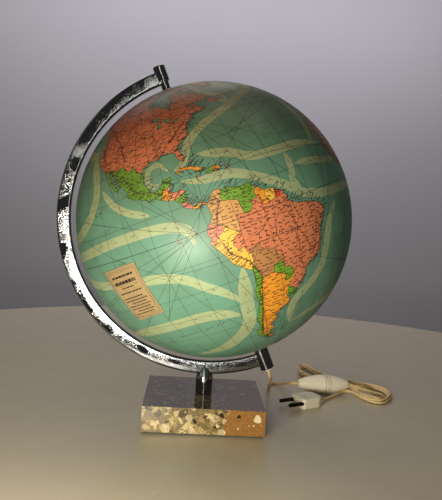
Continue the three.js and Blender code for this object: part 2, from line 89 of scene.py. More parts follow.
class Finish:
    """A principled material built up node by node, on coordinates in metres that move with the piece."""

    def __init__(self, name, roughness=0.5, metallic=0.0):
        self.material = bpy.data.materials.new(name)
        self.material.use_nodes = True
        self.tree = self.material.node_tree
        self.shader = self.tree.nodes["Principled BSDF"]
        self.shader.inputs["Roughness"].default_value = roughness
        self.shader.inputs["Metallic"].default_value = metallic
        self.place = self.add("TexCoord").outputs["Object"]

    def add(self, kind, inputs=None, **settings):
        node = self.tree.nodes.new("ShaderNode" + kind)
        for name, value in settings.items():
            setattr(node, name, value)
        for name, value in (inputs or {}).items():
            self.feed(node.inputs[name], value)
        return node

    def feed(self, socket, value):
        if isinstance(value, bpy.types.NodeSocket):
            self.tree.links.new(value, socket)
        else:
            socket.default_value = value

    def set(self, **values):
        for name, value in values.items():
            self.feed(self.shader.inputs[name.replace("_", " ").title()], value)
        return self

    def noise(self, size, detail=3.0, place=None):
        """A soft pattern whose blobs are about size metres across."""
        settings = {"Vector": place or self.place, "Scale": 1 / size, "Detail": detail}
        return self.add("TexNoise", settings).outputs["Fac"]

    def cells(self, size, output="Distance", feature="F1", place=None):
        settings = {"Vector": place or self.place, "Scale": 1 / size}
        return self.add("TexVoronoi", settings, feature=feature).outputs[output]

    def ramp(self, value, *stops, step="LINEAR"):
        node = self.add("ValToRGB", {"Fac": value})
        bar = node.color_ramp
        bar.interpolation = step
        while len(bar.elements) < len(stops):
            bar.elements.new(0.5)
        for element, (position, color) in zip(bar.elements, stops):
            element.position = position
            element.color = color if isinstance(color, tuple) else (color, color, color, 1)
        return node.outputs["Color"]

    def mix(self, amount, first, second, how="MIX"):
        node = self.add("Mix", data_type="RGBA", blend_type=how)
        self.feed(node.inputs[0], amount)
        self.feed(node.inputs[6], first)
        self.feed(node.inputs[7], second)
        return node.outputs[2]

    def math(self, operation, *values, clamp=False):
        node = self.add("Math", operation=operation, use_clamp=clamp)
        for socket, value in zip(node.inputs, values):
            self.feed(socket, value)
        return node.outputs[0]

    def bump(self, height, depth, strength=1.0):
        """Relief of about depth metres."""
        settings = {"Height": height, "Distance": depth, "Strength": strength}
        self.feed(self.shader.inputs["Normal"], self.add("Bump", settings).outputs["Normal"])
        return self


# ---- Mesh helpers ----
def add_mesh(name, points, faces, material=None, smooth=True):
    mesh = bpy.data.meshes.new(name)
    mesh.from_pydata([tuple(p) for p in points], [], faces)
    mesh.polygons.foreach_set("use_smooth", [smooth] * len(mesh.polygons))
    if material:
        mesh.materials.append(material)
    piece = bpy.data.objects.new(name, mesh)
    bpy.context.scene.collection.objects.link(piece)
    return piece


def spline(points, per_span=12, closed=False):
    """A Catmull-Rom curve through the points, as an array."""
    points = np.array(points, float)
    count = len(points)
    spans = count if closed else count - 1
    padded = points if closed else np.vstack([2 * points[0] - points[1], points, 2 * points[-1] - points[-2]])
    shift = -1 if closed else 0
    t = np.arange(per_span)[:, None] / per_span
    curve = []
    for i in range(spans):
        a, b, c, d = (padded[(i + shift + j) % len(padded)] for j in range(4))
        curve.append(0.5 * (2 * b + (c - a) * t + (2 * a - 5 * b + 4 * c - d) * t**2
                            + (3 * b - a - 3 * c + d) * t**3))
    if not closed:
        curve.append(points[-1:])
    return np.vstack(curve)


def evenly(points, step):
    """The same line with its points step apart."""
    along = np.concatenate([[0], np.cumsum(np.linalg.norm(np.diff(points, axis=0), axis=1))])
    marks = np.linspace(0, along[-1], int(along[-1] / step) + 1)
    return np.stack([np.interp(marks, along, points[:, i]) for i in range(3)], axis=1)


def grid_faces(rows, columns, closed_columns=True):
    wide = columns if closed_columns else columns - 1
    return [
        (r * columns + c, r * columns + (c + 1) % columns,
         (r + 1) * columns + (c + 1) % columns, (r + 1) * columns + c)
        for r in range(rows - 1) for c in range(wide)
    ]


# ---- Flex: the twin cable from the lower barrel to the switch, and from the switch to the plug ----
FLEX_WIDTH = 4.0
FLEX_THICKNESS = 2.3
FLEX_REST = 1.8
STRAND = 3.4

FERRULE_TO_SWITCH = [
    [72.3, 0, 57.75], [74.1, 1, 53.7], [75.5, 4.2, 49.9], [77, 11.5, 46.3], [80.5, 38, 35.5], [84, 67, 24.2],
    [87.5, 96, 13.2], [90.3, 118, 5.6], [92.6, 131.5, 2.3], [95.4, 138.8, 1.8], [101.8, 142.2, 1.8],
    [108.2, 139.4, 2.6], [111.8, 132.6, 5], [114.3, 125.4, 8], [116.6, 118.8, 10.4], [120.6, 113, 12],
    [124.4, 110.7, 12.5], [128.2, 110.1, 12.5],
]
SWITCH_TO_HANK = [
    [197.2, 119.85, 12.5], [203.9, 120.6, 10.4], [213, 121.5, 9], [223, 122.5, 8], [233, 121, 8],
    [241, 115, 8], [244.5, 105, 8],
]
HANK_TO_PLUG = [
    [202.7, 124.3, 1.8], [199, 125.7, 1.8], [195, 125.2, 1.8], [190.6, 121.5, 1.8], [185.5, 114, 1.8],
    [179, 106, 1.8], [171.5, 97.5, 1.8], [164.5, 89.5, 1.9], [157.5, 81.5, 2.8], [151.5, 75, 4.8],
    [146.6, 70.1, 6],
]
HANK_OUTLINE = [
    [144, 184], [141.5, 206], [147, 228], [159, 237], [171, 231], [184, 206], [200, 184], [221, 172],
    [243, 157], [258, 138], [259, 113], [247, 91], [231, 77], [217, 85], [208, 103], [204.5, 121],
    [200, 139], [184, 154], [160, 165],
]
# The turns start at the hank's right end. A turn is one pass of the outline, and each half turn
# between the two ends spreads by its own amount where the sides run straight.
HANK_START = 11.6
HANK_END = 14.9
HANK_TURNS = 3 + (HANK_END - HANK_START) / len(HANK_OUTLINE)
HANK_END_INSETS = [7.0, 4.0, 3.6, 6.6, 6.2, 6.2, 2.0, 2.0]
HANK_SPREADS = [3.5, 8.5, 1.5, 6.5, 8.5, 3.0, 0.0]
HANK_LEFT_END = 1.8
# Counts of points, 1 mm apart, along the route from the switch to the plug.
BEND_EASING = 5
HEIGHT_EASING = 7
LEAD_FROM_SWITCH = 40
TAIL_MARGIN = 4


def hank_turns():
    """The hank's turns as a line on the table, before its strands are stacked."""
    per_span = 24
    outline = spline([[x, y, 0] for x, y in HANK_OUTLINE], per_span, closed=True)
    ahead = np.roll(outline, -1, axis=0) - np.roll(outline, 1, axis=0)
    inward = np.stack([ahead[:, 1], -ahead[:, 0], 0 * ahead[:, 0]], axis=1)
    inward /= np.linalg.norm(inward, axis=1)[:, None]
    count = len(HANK_OUTLINE)
    marks = np.arange(HANK_START, HANK_START + HANK_TURNS * count, 1 / 8)
    halves = 2 * (marks - HANK_START) / count
    inset = np.interp(halves, range(len(HANK_END_INSETS)), HANK_END_INSETS)
    spread = np.array(HANK_SPREADS)[np.minimum(halves.astype(int), len(HANK_SPREADS) - 1)]
    inset += spread * np.sin(math.pi * (marks - HANK_LEFT_END) / (count / 2)) ** 2
    at = (np.round(marks * per_span) % len(outline)).astype(int)
    return outline[at] + inward[at] * inset[:, None]


def stack(line):
    """Lets each strand down onto the strands that come after it, the last one being on the table."""
    height = np.full(len(line), FLEX_REST)
    clear = int(3 * STRAND)
    for i in range(len(line) - 1 - clear, -1, -1):
        across = np.linalg.norm(line[i + clear:, :2] - line[i, :2], axis=1)
        near = across < STRAND
        if near.any():
            rise = np.sqrt(STRAND**2 - across[near] ** 2)
            height[i] = max(FLEX_REST, (height[i + clear:][near] + rise).max())
    return height


def eased(values, reach, keep_ends=1):
    """A running mean over reach points each way, which leaves the ends where they are."""
    window = np.hanning(2 * reach + 3)[1:-1]
    padded = np.pad(values, ((reach, reach), (0, 0)), mode="edge")
    mean = np.stack([np.convolve(padded[:, i], window / window.sum(), "valid") for i in range(3)], axis=1)
    mean[:keep_ends] = values[:keep_ends]
    mean[-keep_ends:] = values[-keep_ends:]
    return mean


def switch_to_plug_route():
    coarse = np.vstack([SWITCH_TO_HANK, hank_turns(), HANK_TO_PLUG])
    line = evenly(coarse, 1.0)
    line = eased(line, BEND_EASING)
    tail = len(evenly(np.array(HANK_TO_PLUG, float), 1.0)) + TAIL_MARGIN
    height = stack(line)
    lead = np.linspace(SWITCH_TO_HANK[0][2], FLEX_REST, LEAD_FROM_SWITCH)
    height[:LEAD_FROM_SWITCH] = np.maximum(height[:LEAD_FROM_SWITCH], lead)
    height[-tail:] = line[-tail:, 2]
    line[:, 2] = height
    line = eased(line, HEIGHT_EASING)
    line[-tail:, 2] = np.maximum(line[-tail:, 2], FLEX_REST)
    return line


def flex_section():
    """Two round cores side by side, joined by a thin web."""
    core = FLEX_THICKNESS / 2
    offset = FLEX_WIDTH / 2 - core
    points = []
    for side in (1, -1):
        for degrees in range(-125, 126, 25):
            angle = math.radians(degrees)
            points.append((side * (offset + core * math.cos(angle)), side * core * math.sin(angle)))
    return np.array(points)


def flex_piece(name, route, material):
    """Sweeps the section along the route, slowly rolling as a twin flex does."""
    section = flex_section()
    ahead = np.gradient(route, axis=0)
    ahead /= np.linalg.norm(ahead, axis=1)[:, None]
    side = np.array([-ahead[0, 1], ahead[0, 0], 0.001])
    rings = []
    for i, (point, forward) in enumerate(zip(route, ahead)):
        side = side - forward * side.dot(forward)
        side /= np.linalg.norm(side)
        top = np.cross(forward, side)
        roll = 0.5 + 0.9 * math.sin(i * 0.033) + 0.5 * math.sin(i * 0.011 + 1)
        wide = side * math.cos(roll) + top * math.sin(roll)
        thick = top * math.cos(roll) - side * math.sin(roll)
        rings.append(point + section[:, :1] * wide + section[:, 1:] * thick)
    count = len(section)
    faces = grid_faces(len(rings), count)
    faces.append(tuple(reversed(range(count))))
    faces.append(tuple(range((len(rings) - 1) * count, len(rings) * count)))
    piece = add_mesh(name, np.vstack(rings) * MM, faces, material)
    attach(piece, "stand")
    return piece


def flex_finish():
    finish = Finish("flex_sheath", roughness=0.42)
    grime = finish.noise(0.004, 6)
    blotch = finish.noise(0.03)
    base = finish.mix(blotch, srgb(240, 214, 160), srgb(222, 192, 134))
    base = finish.mix(finish.ramp(grime, (0.52, 0.0), (0.75, 0.5)), base, srgb(140, 108, 66))
    finish.set(base_color=base, subsurface_weight=0.15, subsurface_radius=(0.004, 0.003, 0.002))
    finish.set(roughness=finish.ramp(grime, (0.3, 0.34), (0.8, 0.55)))
    return finish.bump(finish.noise(0.0006), 0.00005, 0.3).material


def add_flex():
    material = flex_finish()
    first_route = evenly(spline(FERRULE_TO_SWITCH, 16), 1.0)
    first = flex_piece("flex_ferrule_to_switch", first_route, material)
    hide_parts("flex_to_switch")
    second_route = switch_to_plug_route()
    second = flex_piece("flex_switch_to_plug", second_route, material)
    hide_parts("flex_to_hank", "flex_to_plug", "flex_hank")
    for label, route in (("first", first_route), ("second", second_route)):
        print("flex", label, round(float(np.linalg.norm(np.diff(route, axis=0), axis=1).sum()), 1), "mm")


# ---- Map: outlines in degrees of longitude and latitude ----
LANDS = {
    "north_america": [
        (-168, 65.7), (-161.5, 66.4), (-166.5, 68.3), (-156.6, 71.3), (-141, 69.6), (-135, 69.3),
        (-128, 70.2),
        (-118, 69), (-109, 68), (-101, 67.8), (-95, 68.2), (-94.5, 71.9), (-88, 69), (-81.5, 69.2),
        (-82, 66.5), (-86.5, 66.3), (-87.5, 64.3), (-93, 62), (-94.7, 59), (-92.5, 57), (-85, 55.2),
        (-82.2, 53), (-80, 51.3), (-78.8, 52.8), (-79.5, 54.6), (-76.6, 56.5), (-78.5, 58.8), (-77.5, 62.4),
        (-73.5, 62.3), (-70, 61), (-69.5, 59), (-66, 58.7), (-64.5, 60.3), (-62, 57.5), (-59, 54.8),
        (-56, 52.5), (-60, 50.2), (-66.5, 50.2), (-69, 48.6), (-65, 49.2), (-65, 47.2), (-64, 46),
        (-61.2, 45.6), (-63.5, 44.6), (-66, 43.5), (-67, 44.7), (-70, 43.6), (-70.8, 42.2), (-70, 41.7),
        (-72, 41.2), (-74, 40.5), (-74.8, 39), (-76, 36.9), (-75.5, 35.2), (-77.8, 34), (-81.2, 31.8),
        (-81.3, 30), (-80, 27), (-80.4, 25.2), (-81.8, 26), (-82.8, 27.8), (-82.8, 29.2), (-84.2, 30),
        (-86, 30.4), (-89, 30.3), (-89.3, 29.1), (-91.3, 29.4), (-94, 29.6), (-97.2, 27.7), (-97.4, 25.5),
        (-97.8, 22.5), (-96.2, 19.2), (-94.4, 18.2), (-92, 18.6), (-90.6, 19.8), (-90.3, 21.1), (-87.2, 21.5),
        (-87.6, 19.5), (-88.1, 18.3), (-88.4, 16.2), (-87.5, 15.8), (-85, 15.9), (-83.2, 15), (-83.5, 12.8),
        (-83.7, 11), (-82.2, 9.2), (-81, 8.8), (-79.6, 9.6), (-77.5, 8.6), (-77.2, 7.3), (-78.2, 8.2),
        (-79.5, 8.9), (-80.4, 8.1), (-80.3, 7.3), (-82, 8.1), (-83.7, 8.7), (-85.8, 10), (-85.8, 11),
        (-87.6, 12.9), (-90.5, 13.8), (-92.3, 14.6), (-94.2, 16.2), (-96.5, 15.7), (-99.8, 16.8),
        (-102.2, 18), (-105, 19.3), (-105.6, 20.4), (-105.3, 21.6), (-107, 24), (-109.4, 25.8),
        (-110.5, 27.5), (-112.8, 30.3), (-114.7, 31.7), (-114.7, 30.5), (-112.8, 28), (-111.3, 26),
        (-109.5, 23.2), (-110.3, 23.3), (-112.2, 25.2), (-114, 27), (-115.8, 30.3), (-117.2, 32.7),
        (-118.5, 34), (-120.6, 34.6), (-122.5, 37.5), (-124.2, 40.3), (-124, 44.5), (-124.6, 48.2),
        (-122.6, 48.5), (-125, 50.2), (-127.8, 51.5), (-130.3, 54.5), (-133.5, 57.5), (-137, 58.8),
        (-141, 60), (-146, 60.8), (-149.5, 60), (-152, 60.5), (-154, 58.3), (-158, 56.5), (-162.5, 55),
        (-157.5, 58.7), (-162, 58.8), (-162, 60.2), (-165.5, 61.5), (-161, 63.8), (-161.5, 64.6),
    ],
    "south_america": [
        (-77.4, 8.6), (-75.6, 10.6), (-72.3, 12.1), (-71.5, 10.6), (-70, 12), (-68.3, 10.7), (-65.5, 10.2),
        (-62.2, 10.6), (-60, 8.4), (-57, 6), (-54, 5.8), (-51.7, 4.3), (-50, 1.8), (-50.4, 0), (-48.4, -0.8),
        (-44.5, -2.2), (-41.5, -2.9), (-38.5, -3.7), (-35.5, -5.2), (-34.8, -7.5), (-37, -11), (-38.6, -13),
        (-39.1, -17), (-40.3, -20.3), (-41, -22), (-43.2, -23), (-46, -24), (-48.5, -26), (-48.8, -28.5),
        (-50.5, -30.8), (-53, -33), (-54.9, -34.9), (-58.3, -34.2), (-57, -36.3), (-57.7, -38.2), (-62, -39),
        (-62.3, -40.8), (-65, -41), (-63.8, -42.5), (-65.3, -44.5), (-67.5, -46), (-65.8, -47.9),
        (-69, -50.5), (-68.5, -52.4), (-71, -53.8), (-74, -52.5), (-75.5, -49.5), (-75.5, -46.8),
        (-73, -44.5), (-73.8, -41.8), (-73.5, -38.5), (-71.8, -34), (-71.4, -30), (-70.5, -25), (-70.2, -20),
        (-70.4, -18.3), (-73, -16.6), (-76.2, -13.8), (-78, -10), (-79.8, -7), (-81.3, -5), (-80.3, -3.2),
        (-80.9, -1), (-80, 0.8), (-78.8, 1.8), (-77.2, 3.9), (-77.5, 6.5), (-77.9, 7.3),
    ],
    "fuegia": [(-68.6, -52.7), (-65.2, -54.7), (-68.5, -55.5), (-72.5, -54), (-70, -53.3)],
    "falklands": [(-61, -51.8), (-58, -51.5), (-58.5, -52.2)],
    "greenland": [
        (-45, 60), (-49, 61.5), (-52, 65), (-54, 70), (-60, 75.8), (-70, 77), (-66, 80.5), (-50, 82.3),
        (-32, 83.5), (-20, 82), (-19, 77), (-22, 72), (-26, 68.5), (-37, 65.5), (-43, 60.2),
    ],
    "baffin": [
        (-62, 66.5), (-65, 63), (-72, 63.8), (-73, 67.5), (-88, 70), (-88, 73), (-80, 73.6), (-70, 71),
    ],
    "ellesmere": [(-90, 76.5), (-78, 76.5), (-72, 79), (-62, 82.5), (-80, 83), (-92, 81)],
    "victoria": [(-117, 70), (-105, 69), (-102, 71), (-107, 73), (-117, 73)],
    "banks": [(-125, 72), (-120, 71.3), (-117.5, 73.8), (-123, 74.3)],
    "newfoundland": [(-59.3, 47.8), (-55.5, 46.9), (-52.8, 47), (-53.5, 49), (-55.8, 51.5), (-57.5, 50)],
    "cuba": [
        (-84.9, 21.9), (-82.5, 23.1), (-79.5, 22.8), (-75.7, 21), (-74.2, 20.2), (-77.5, 19.9), (-78, 21),
        (-81.7, 22.1),
    ],
    "hispaniola": [(-74.4, 18.4), (-72.8, 19.9), (-70, 19.8), (-68.4, 18.6), (-71, 17.9)],
    "puerto_rico": [(-67.2, 18.4), (-65.7, 18.4), (-65.8, 18), (-67.2, 18)],
    "jamaica": [(-78.3, 18.3), (-76.9, 18.4), (-76.3, 17.9), (-77.9, 17.9)],
    "bahamas": [(-78.4, 25.1), (-77.6, 24.4), (-77.9, 23.9), (-78.4, 24.5)],
    "hawaii": [(-156, 20.2), (-154.9, 19.5), (-155.8, 19)],
    "galapagos": [(-91.4, -0.1), (-90.4, -0.6), (-91.2, -1)],
    "iceland": [(-24, 65.5), (-22, 64), (-18.5, 63.5), (-14, 64.8), (-15, 66.3), (-22, 66.3)],
    "africa": [
        (-6, 35.8), (3, 36.9), (10, 37.3), (11, 34), (15.3, 32.3), (19.5, 30.5), (23, 32.6), (29, 31),
        (32.3, 31.2), (35.6, 23.9), (37.3, 19), (39.5, 15.3), (43.2, 11.6), (51.2, 11.9), (48, 4.5),
        (42, -1), (39.2, -5), (40.6, -11), (40.5, -15), (35, -20), (35.5, -24), (32.8, -27), (30.5, -31),
        (26, -34), (20, -34.8), (18.2, -32), (15, -26.5), (12, -18), (13.6, -12.5), (12.2, -6), (9, -1),
        (9.6, 3.8), (7, 4.4), (4.4, 6.3), (-2, 4.8), (-7.7, 4.4), (-12.5, 7.4), (-15, 11), (-17.3, 14.7),
        (-16.3, 19), (-17, 21.5), (-13, 27.8), (-9.8, 30),
    ],
    "madagascar": [(49.3, -12), (50.4, -15.7), (47, -25), (44, -25), (43.3, -22), (44.3, -16.3)],
    "eurasia": [
        (-9, 38.7), (-9, 43.1), (-1.8, 43.4), (-1.3, 46), (-4.7, 48.4), (1.6, 50.3), (4, 52), (8.5, 53.8),
        (8.2, 57), (10.5, 57.6), (10.9, 54.3), (19, 54.4), (21, 57), (24.3, 57.3), (23.5, 59.2), (30, 59.9),
        (23, 60), (21.5, 61.5), (25.3, 65), (22, 65.7), (17.3, 62), (18.8, 60), (16.5, 57), (14.2, 55.4),
        (10.7, 59.2), (7, 58.1), (5, 61), (12, 66), (19, 70), (28, 71), (40.5, 67.6), (34.5, 65.5),
        (38, 64), (44, 66), (44.5, 68.3), (53, 68.5), (68.5, 68.5), (68, 72.5), (73, 71.5), (80.5, 73),
        (104, 77.7), (113, 73.8), (129, 71.5), (140, 72.7), (160, 69.7), (179, 69), (179, 65), (170.5, 60),
        (163, 60), (162.5, 56), (156.7, 51), (156, 57), (163.5, 62.3), (155, 59.3), (142, 59),
        (135.3, 54.8), (141, 53), (140.4, 48.5), (135.5, 44), (131, 42.8), (127.5, 39.7), (129.4, 37),
        (126.5, 34.5), (126.6, 37.2), (125, 39.6), (121.5, 40.8), (118, 39), (119, 37.3), (122.5, 37),
        (119.3, 35), (121.8, 31.5), (121.5, 28.5), (118.5, 24.6), (114, 22.3), (108.5, 21.7), (106, 18.8),
        (109.2, 13), (107, 10.4), (104.8, 8.7), (101, 13.2), (99.3, 10), (103.5, 4), (104, 1.4), (101.3, 3),
        (98.5, 8), (98.5, 13), (97.3, 16.5), (94.5, 16), (92, 21.7), (88.5, 21.7), (86.5, 20.2),
        (82.3, 16.7), (80, 12.5), (77.6, 8.1), (76, 11), (73, 16.5), (72.7, 21), (69, 22.3), (67, 24.8),
        (61.7, 25.1), (57, 26.8), (51.5, 27.9), (48.5, 30.2), (48.5, 28), (51, 25.5), (54, 24.2),
        (56.3, 26.2), (59.8, 22.5), (55, 17.3), (45, 12.8), (43, 13.5), (38.8, 21), (35, 28), (34.3, 31.3),
        (36, 36.5), (30.6, 36.7), (27, 37.5), (26.5, 39.3), (29, 41.1), (36, 41.7), (41.5, 41.6),
        (37.5, 45), (39.2, 47.2), (33.5, 44.5), (31, 46.6), (28, 43.5), (28.5, 41.3), (26, 40.8),
        (23, 40.3), (23, 37.5), (21.5, 37.2), (19.5, 41), (13.7, 45.2), (18.3, 40), (16.6, 38.2),
        (12.3, 41.8), (8.8, 44.3), (3.2, 43.3), (0.5, 40.8), (-0.5, 38), (-2, 36.8), (-5.6, 36.1), (-8.9, 37),
    ],
    "britain": [
        (-5.5, 50.1), (1.4, 51.2), (0, 53.5), (-2, 56), (-3.2, 58.6), (-6, 57.5), (-4.8, 54.5), (-3, 53.5),
        (-4.7, 52),
    ],
    "ireland": [(-6, 52.2), (-10, 51.7), (-9.8, 54.2), (-6, 55.2)],
    "japan": [
        (130, 31.5), (135, 33.6), (140.8, 35.7), (141.8, 39.5), (145, 43.5), (141.8, 45.4), (140, 41),
        (136.8, 37), (132, 35),
    ],
    "ceylon": [(79.8, 8), (81.8, 7.5), (80.5, 6)],
    "sumatra": [(95.3, 5.6), (104, -2), (105.8, -5.8), (101, -2.5)],
    "java": [(105.3, -6.5), (114.5, -7.5), (114.5, -8.5), (106.5, -7.4)],
    "borneo": [(109, 1.5), (111, -3), (116, -4), (119, 5), (116.7, 7)],
    "celebes": [(119.5, -3.5), (120.5, -5.4), (123, -4), (121.5, -1), (125, 1.5), (120, 1)],
    "luzon": [(120.5, 18.3), (122, 18.3), (121.8, 14.3), (120.3, 14.8)],
    "mindanao": [(122, 7), (125, 9.6), (126.4, 7.5), (125.4, 5.7)],
    "new_guinea": [
        (131, -0.8), (134, -3.3), (141, -2.6), (147, -6), (150.7, -10.5), (144, -7.7), (138, -8.2),
        (133, -4),
    ],
    "australia": [
        (114, -22), (115.7, -32), (118, -35), (124, -33.8), (131, -31.5), (135.5, -34.8), (138, -33),
        (140.5, -38), (146.5, -39), (150, -37.3), (153, -31), (153, -25.5), (146, -19), (145.3, -15),
        (142.5, -10.8), (141.5, -15), (139.5, -17.5), (135.8, -15), (136.8, -12.2), (132, -11.5),
        (129.5, -15), (126, -14), (122, -18),
    ],
    "tasmania": [(144.7, -40.8), (148.3, -41), (147, -43.5)],
    "new_zealand_north": [(172.8, -34.5), (178.4, -37.8), (175, -41.5), (174.7, -37)],
    "new_zealand_south": [
        (172.7, -40.6), (174.3, -41.8), (170.7, -45.9), (168, -46.6), (166.6, -45.9), (171, -42.5),
    ],
    "antarctica": [
        (-180, -78), (-150, -77), (-120, -74), (-100, -73), (-75, -72.5), (-67, -67), (-57, -63.3),
        (-62, -66), (-61, -74), (-40, -78), (-15, -72.5), (10, -70), (50, -66.5), (90, -66.5), (135, -66),
        (165, -72), (165, -78), (180, -78), (180, -89), (-180, -89),
    ],
}
LAND_COLORS = {
    "north_america": "rust", "baffin": "rust", "ellesmere": "rust", "victoria": "rust", "banks": "rust",
    "newfoundland": "rust", "greenland": "yellow", "south_america": "salmon", "fuegia": "orange",
    "falklands": "salmon", "cuba": "orange", "hispaniola": "green", "puerto_rico": "pink",
    "jamaica": "pink", "bahamas": "pink", "hawaii": "salmon", "galapagos": "pink", "iceland": "pink",
    "africa": "umber", "madagascar": "umber", "eurasia": "salmon", "britain": "pink", "ireland": "green",
    "japan": "yellow", "ceylon": "pink", "sumatra": "orange", "java": "orange", "borneo": "orange",
    "celebes": "orange", "luzon": "green", "mindanao": "green", "new_guinea": "orange",
    "australia": "pink", "tasmania": "pink", "new_zealand_north": "pink", "new_zealand_south": "pink",
    "antarctica": "ice",
}
LAKES = [
    [(-92, 46.8), (-88, 48.8), (-84.8, 46.6), (-87.5, 46.5)],
    [(-87.8, 42), (-87.7, 45), (-85.2, 45.7), (-86.3, 42)],
    [(-84, 45.9), (-80.2, 45.3), (-82, 43.3), (-83.5, 44.6)],
    [(-83.2, 41.8), (-79, 42.9), (-79.5, 43.6), (-76.4, 44), (-78.5, 42.4)],
    [(-98, 53.5), (-96.5, 50.6), (-99, 51.5)], [(-124, 66.5), (-118, 66), (-121, 65)],
    [(-117, 61.2), (-109.5, 62.6), (-113, 61.3)], [(-86, 11.9), (-85, 11.2), (-85.3, 11.9)],
    [(47, 44.5), (51.5, 46.5), (53, 40), (54, 37), (49.5, 37.5), (49.3, 41)],
    [(58.5, 44), (61.5, 46.5), (61, 44)], [(104, 51.6), (109.7, 55.5), (106, 52.3)],
    [(31.8, 0.2), (34, 0), (33, -2.5)],
]
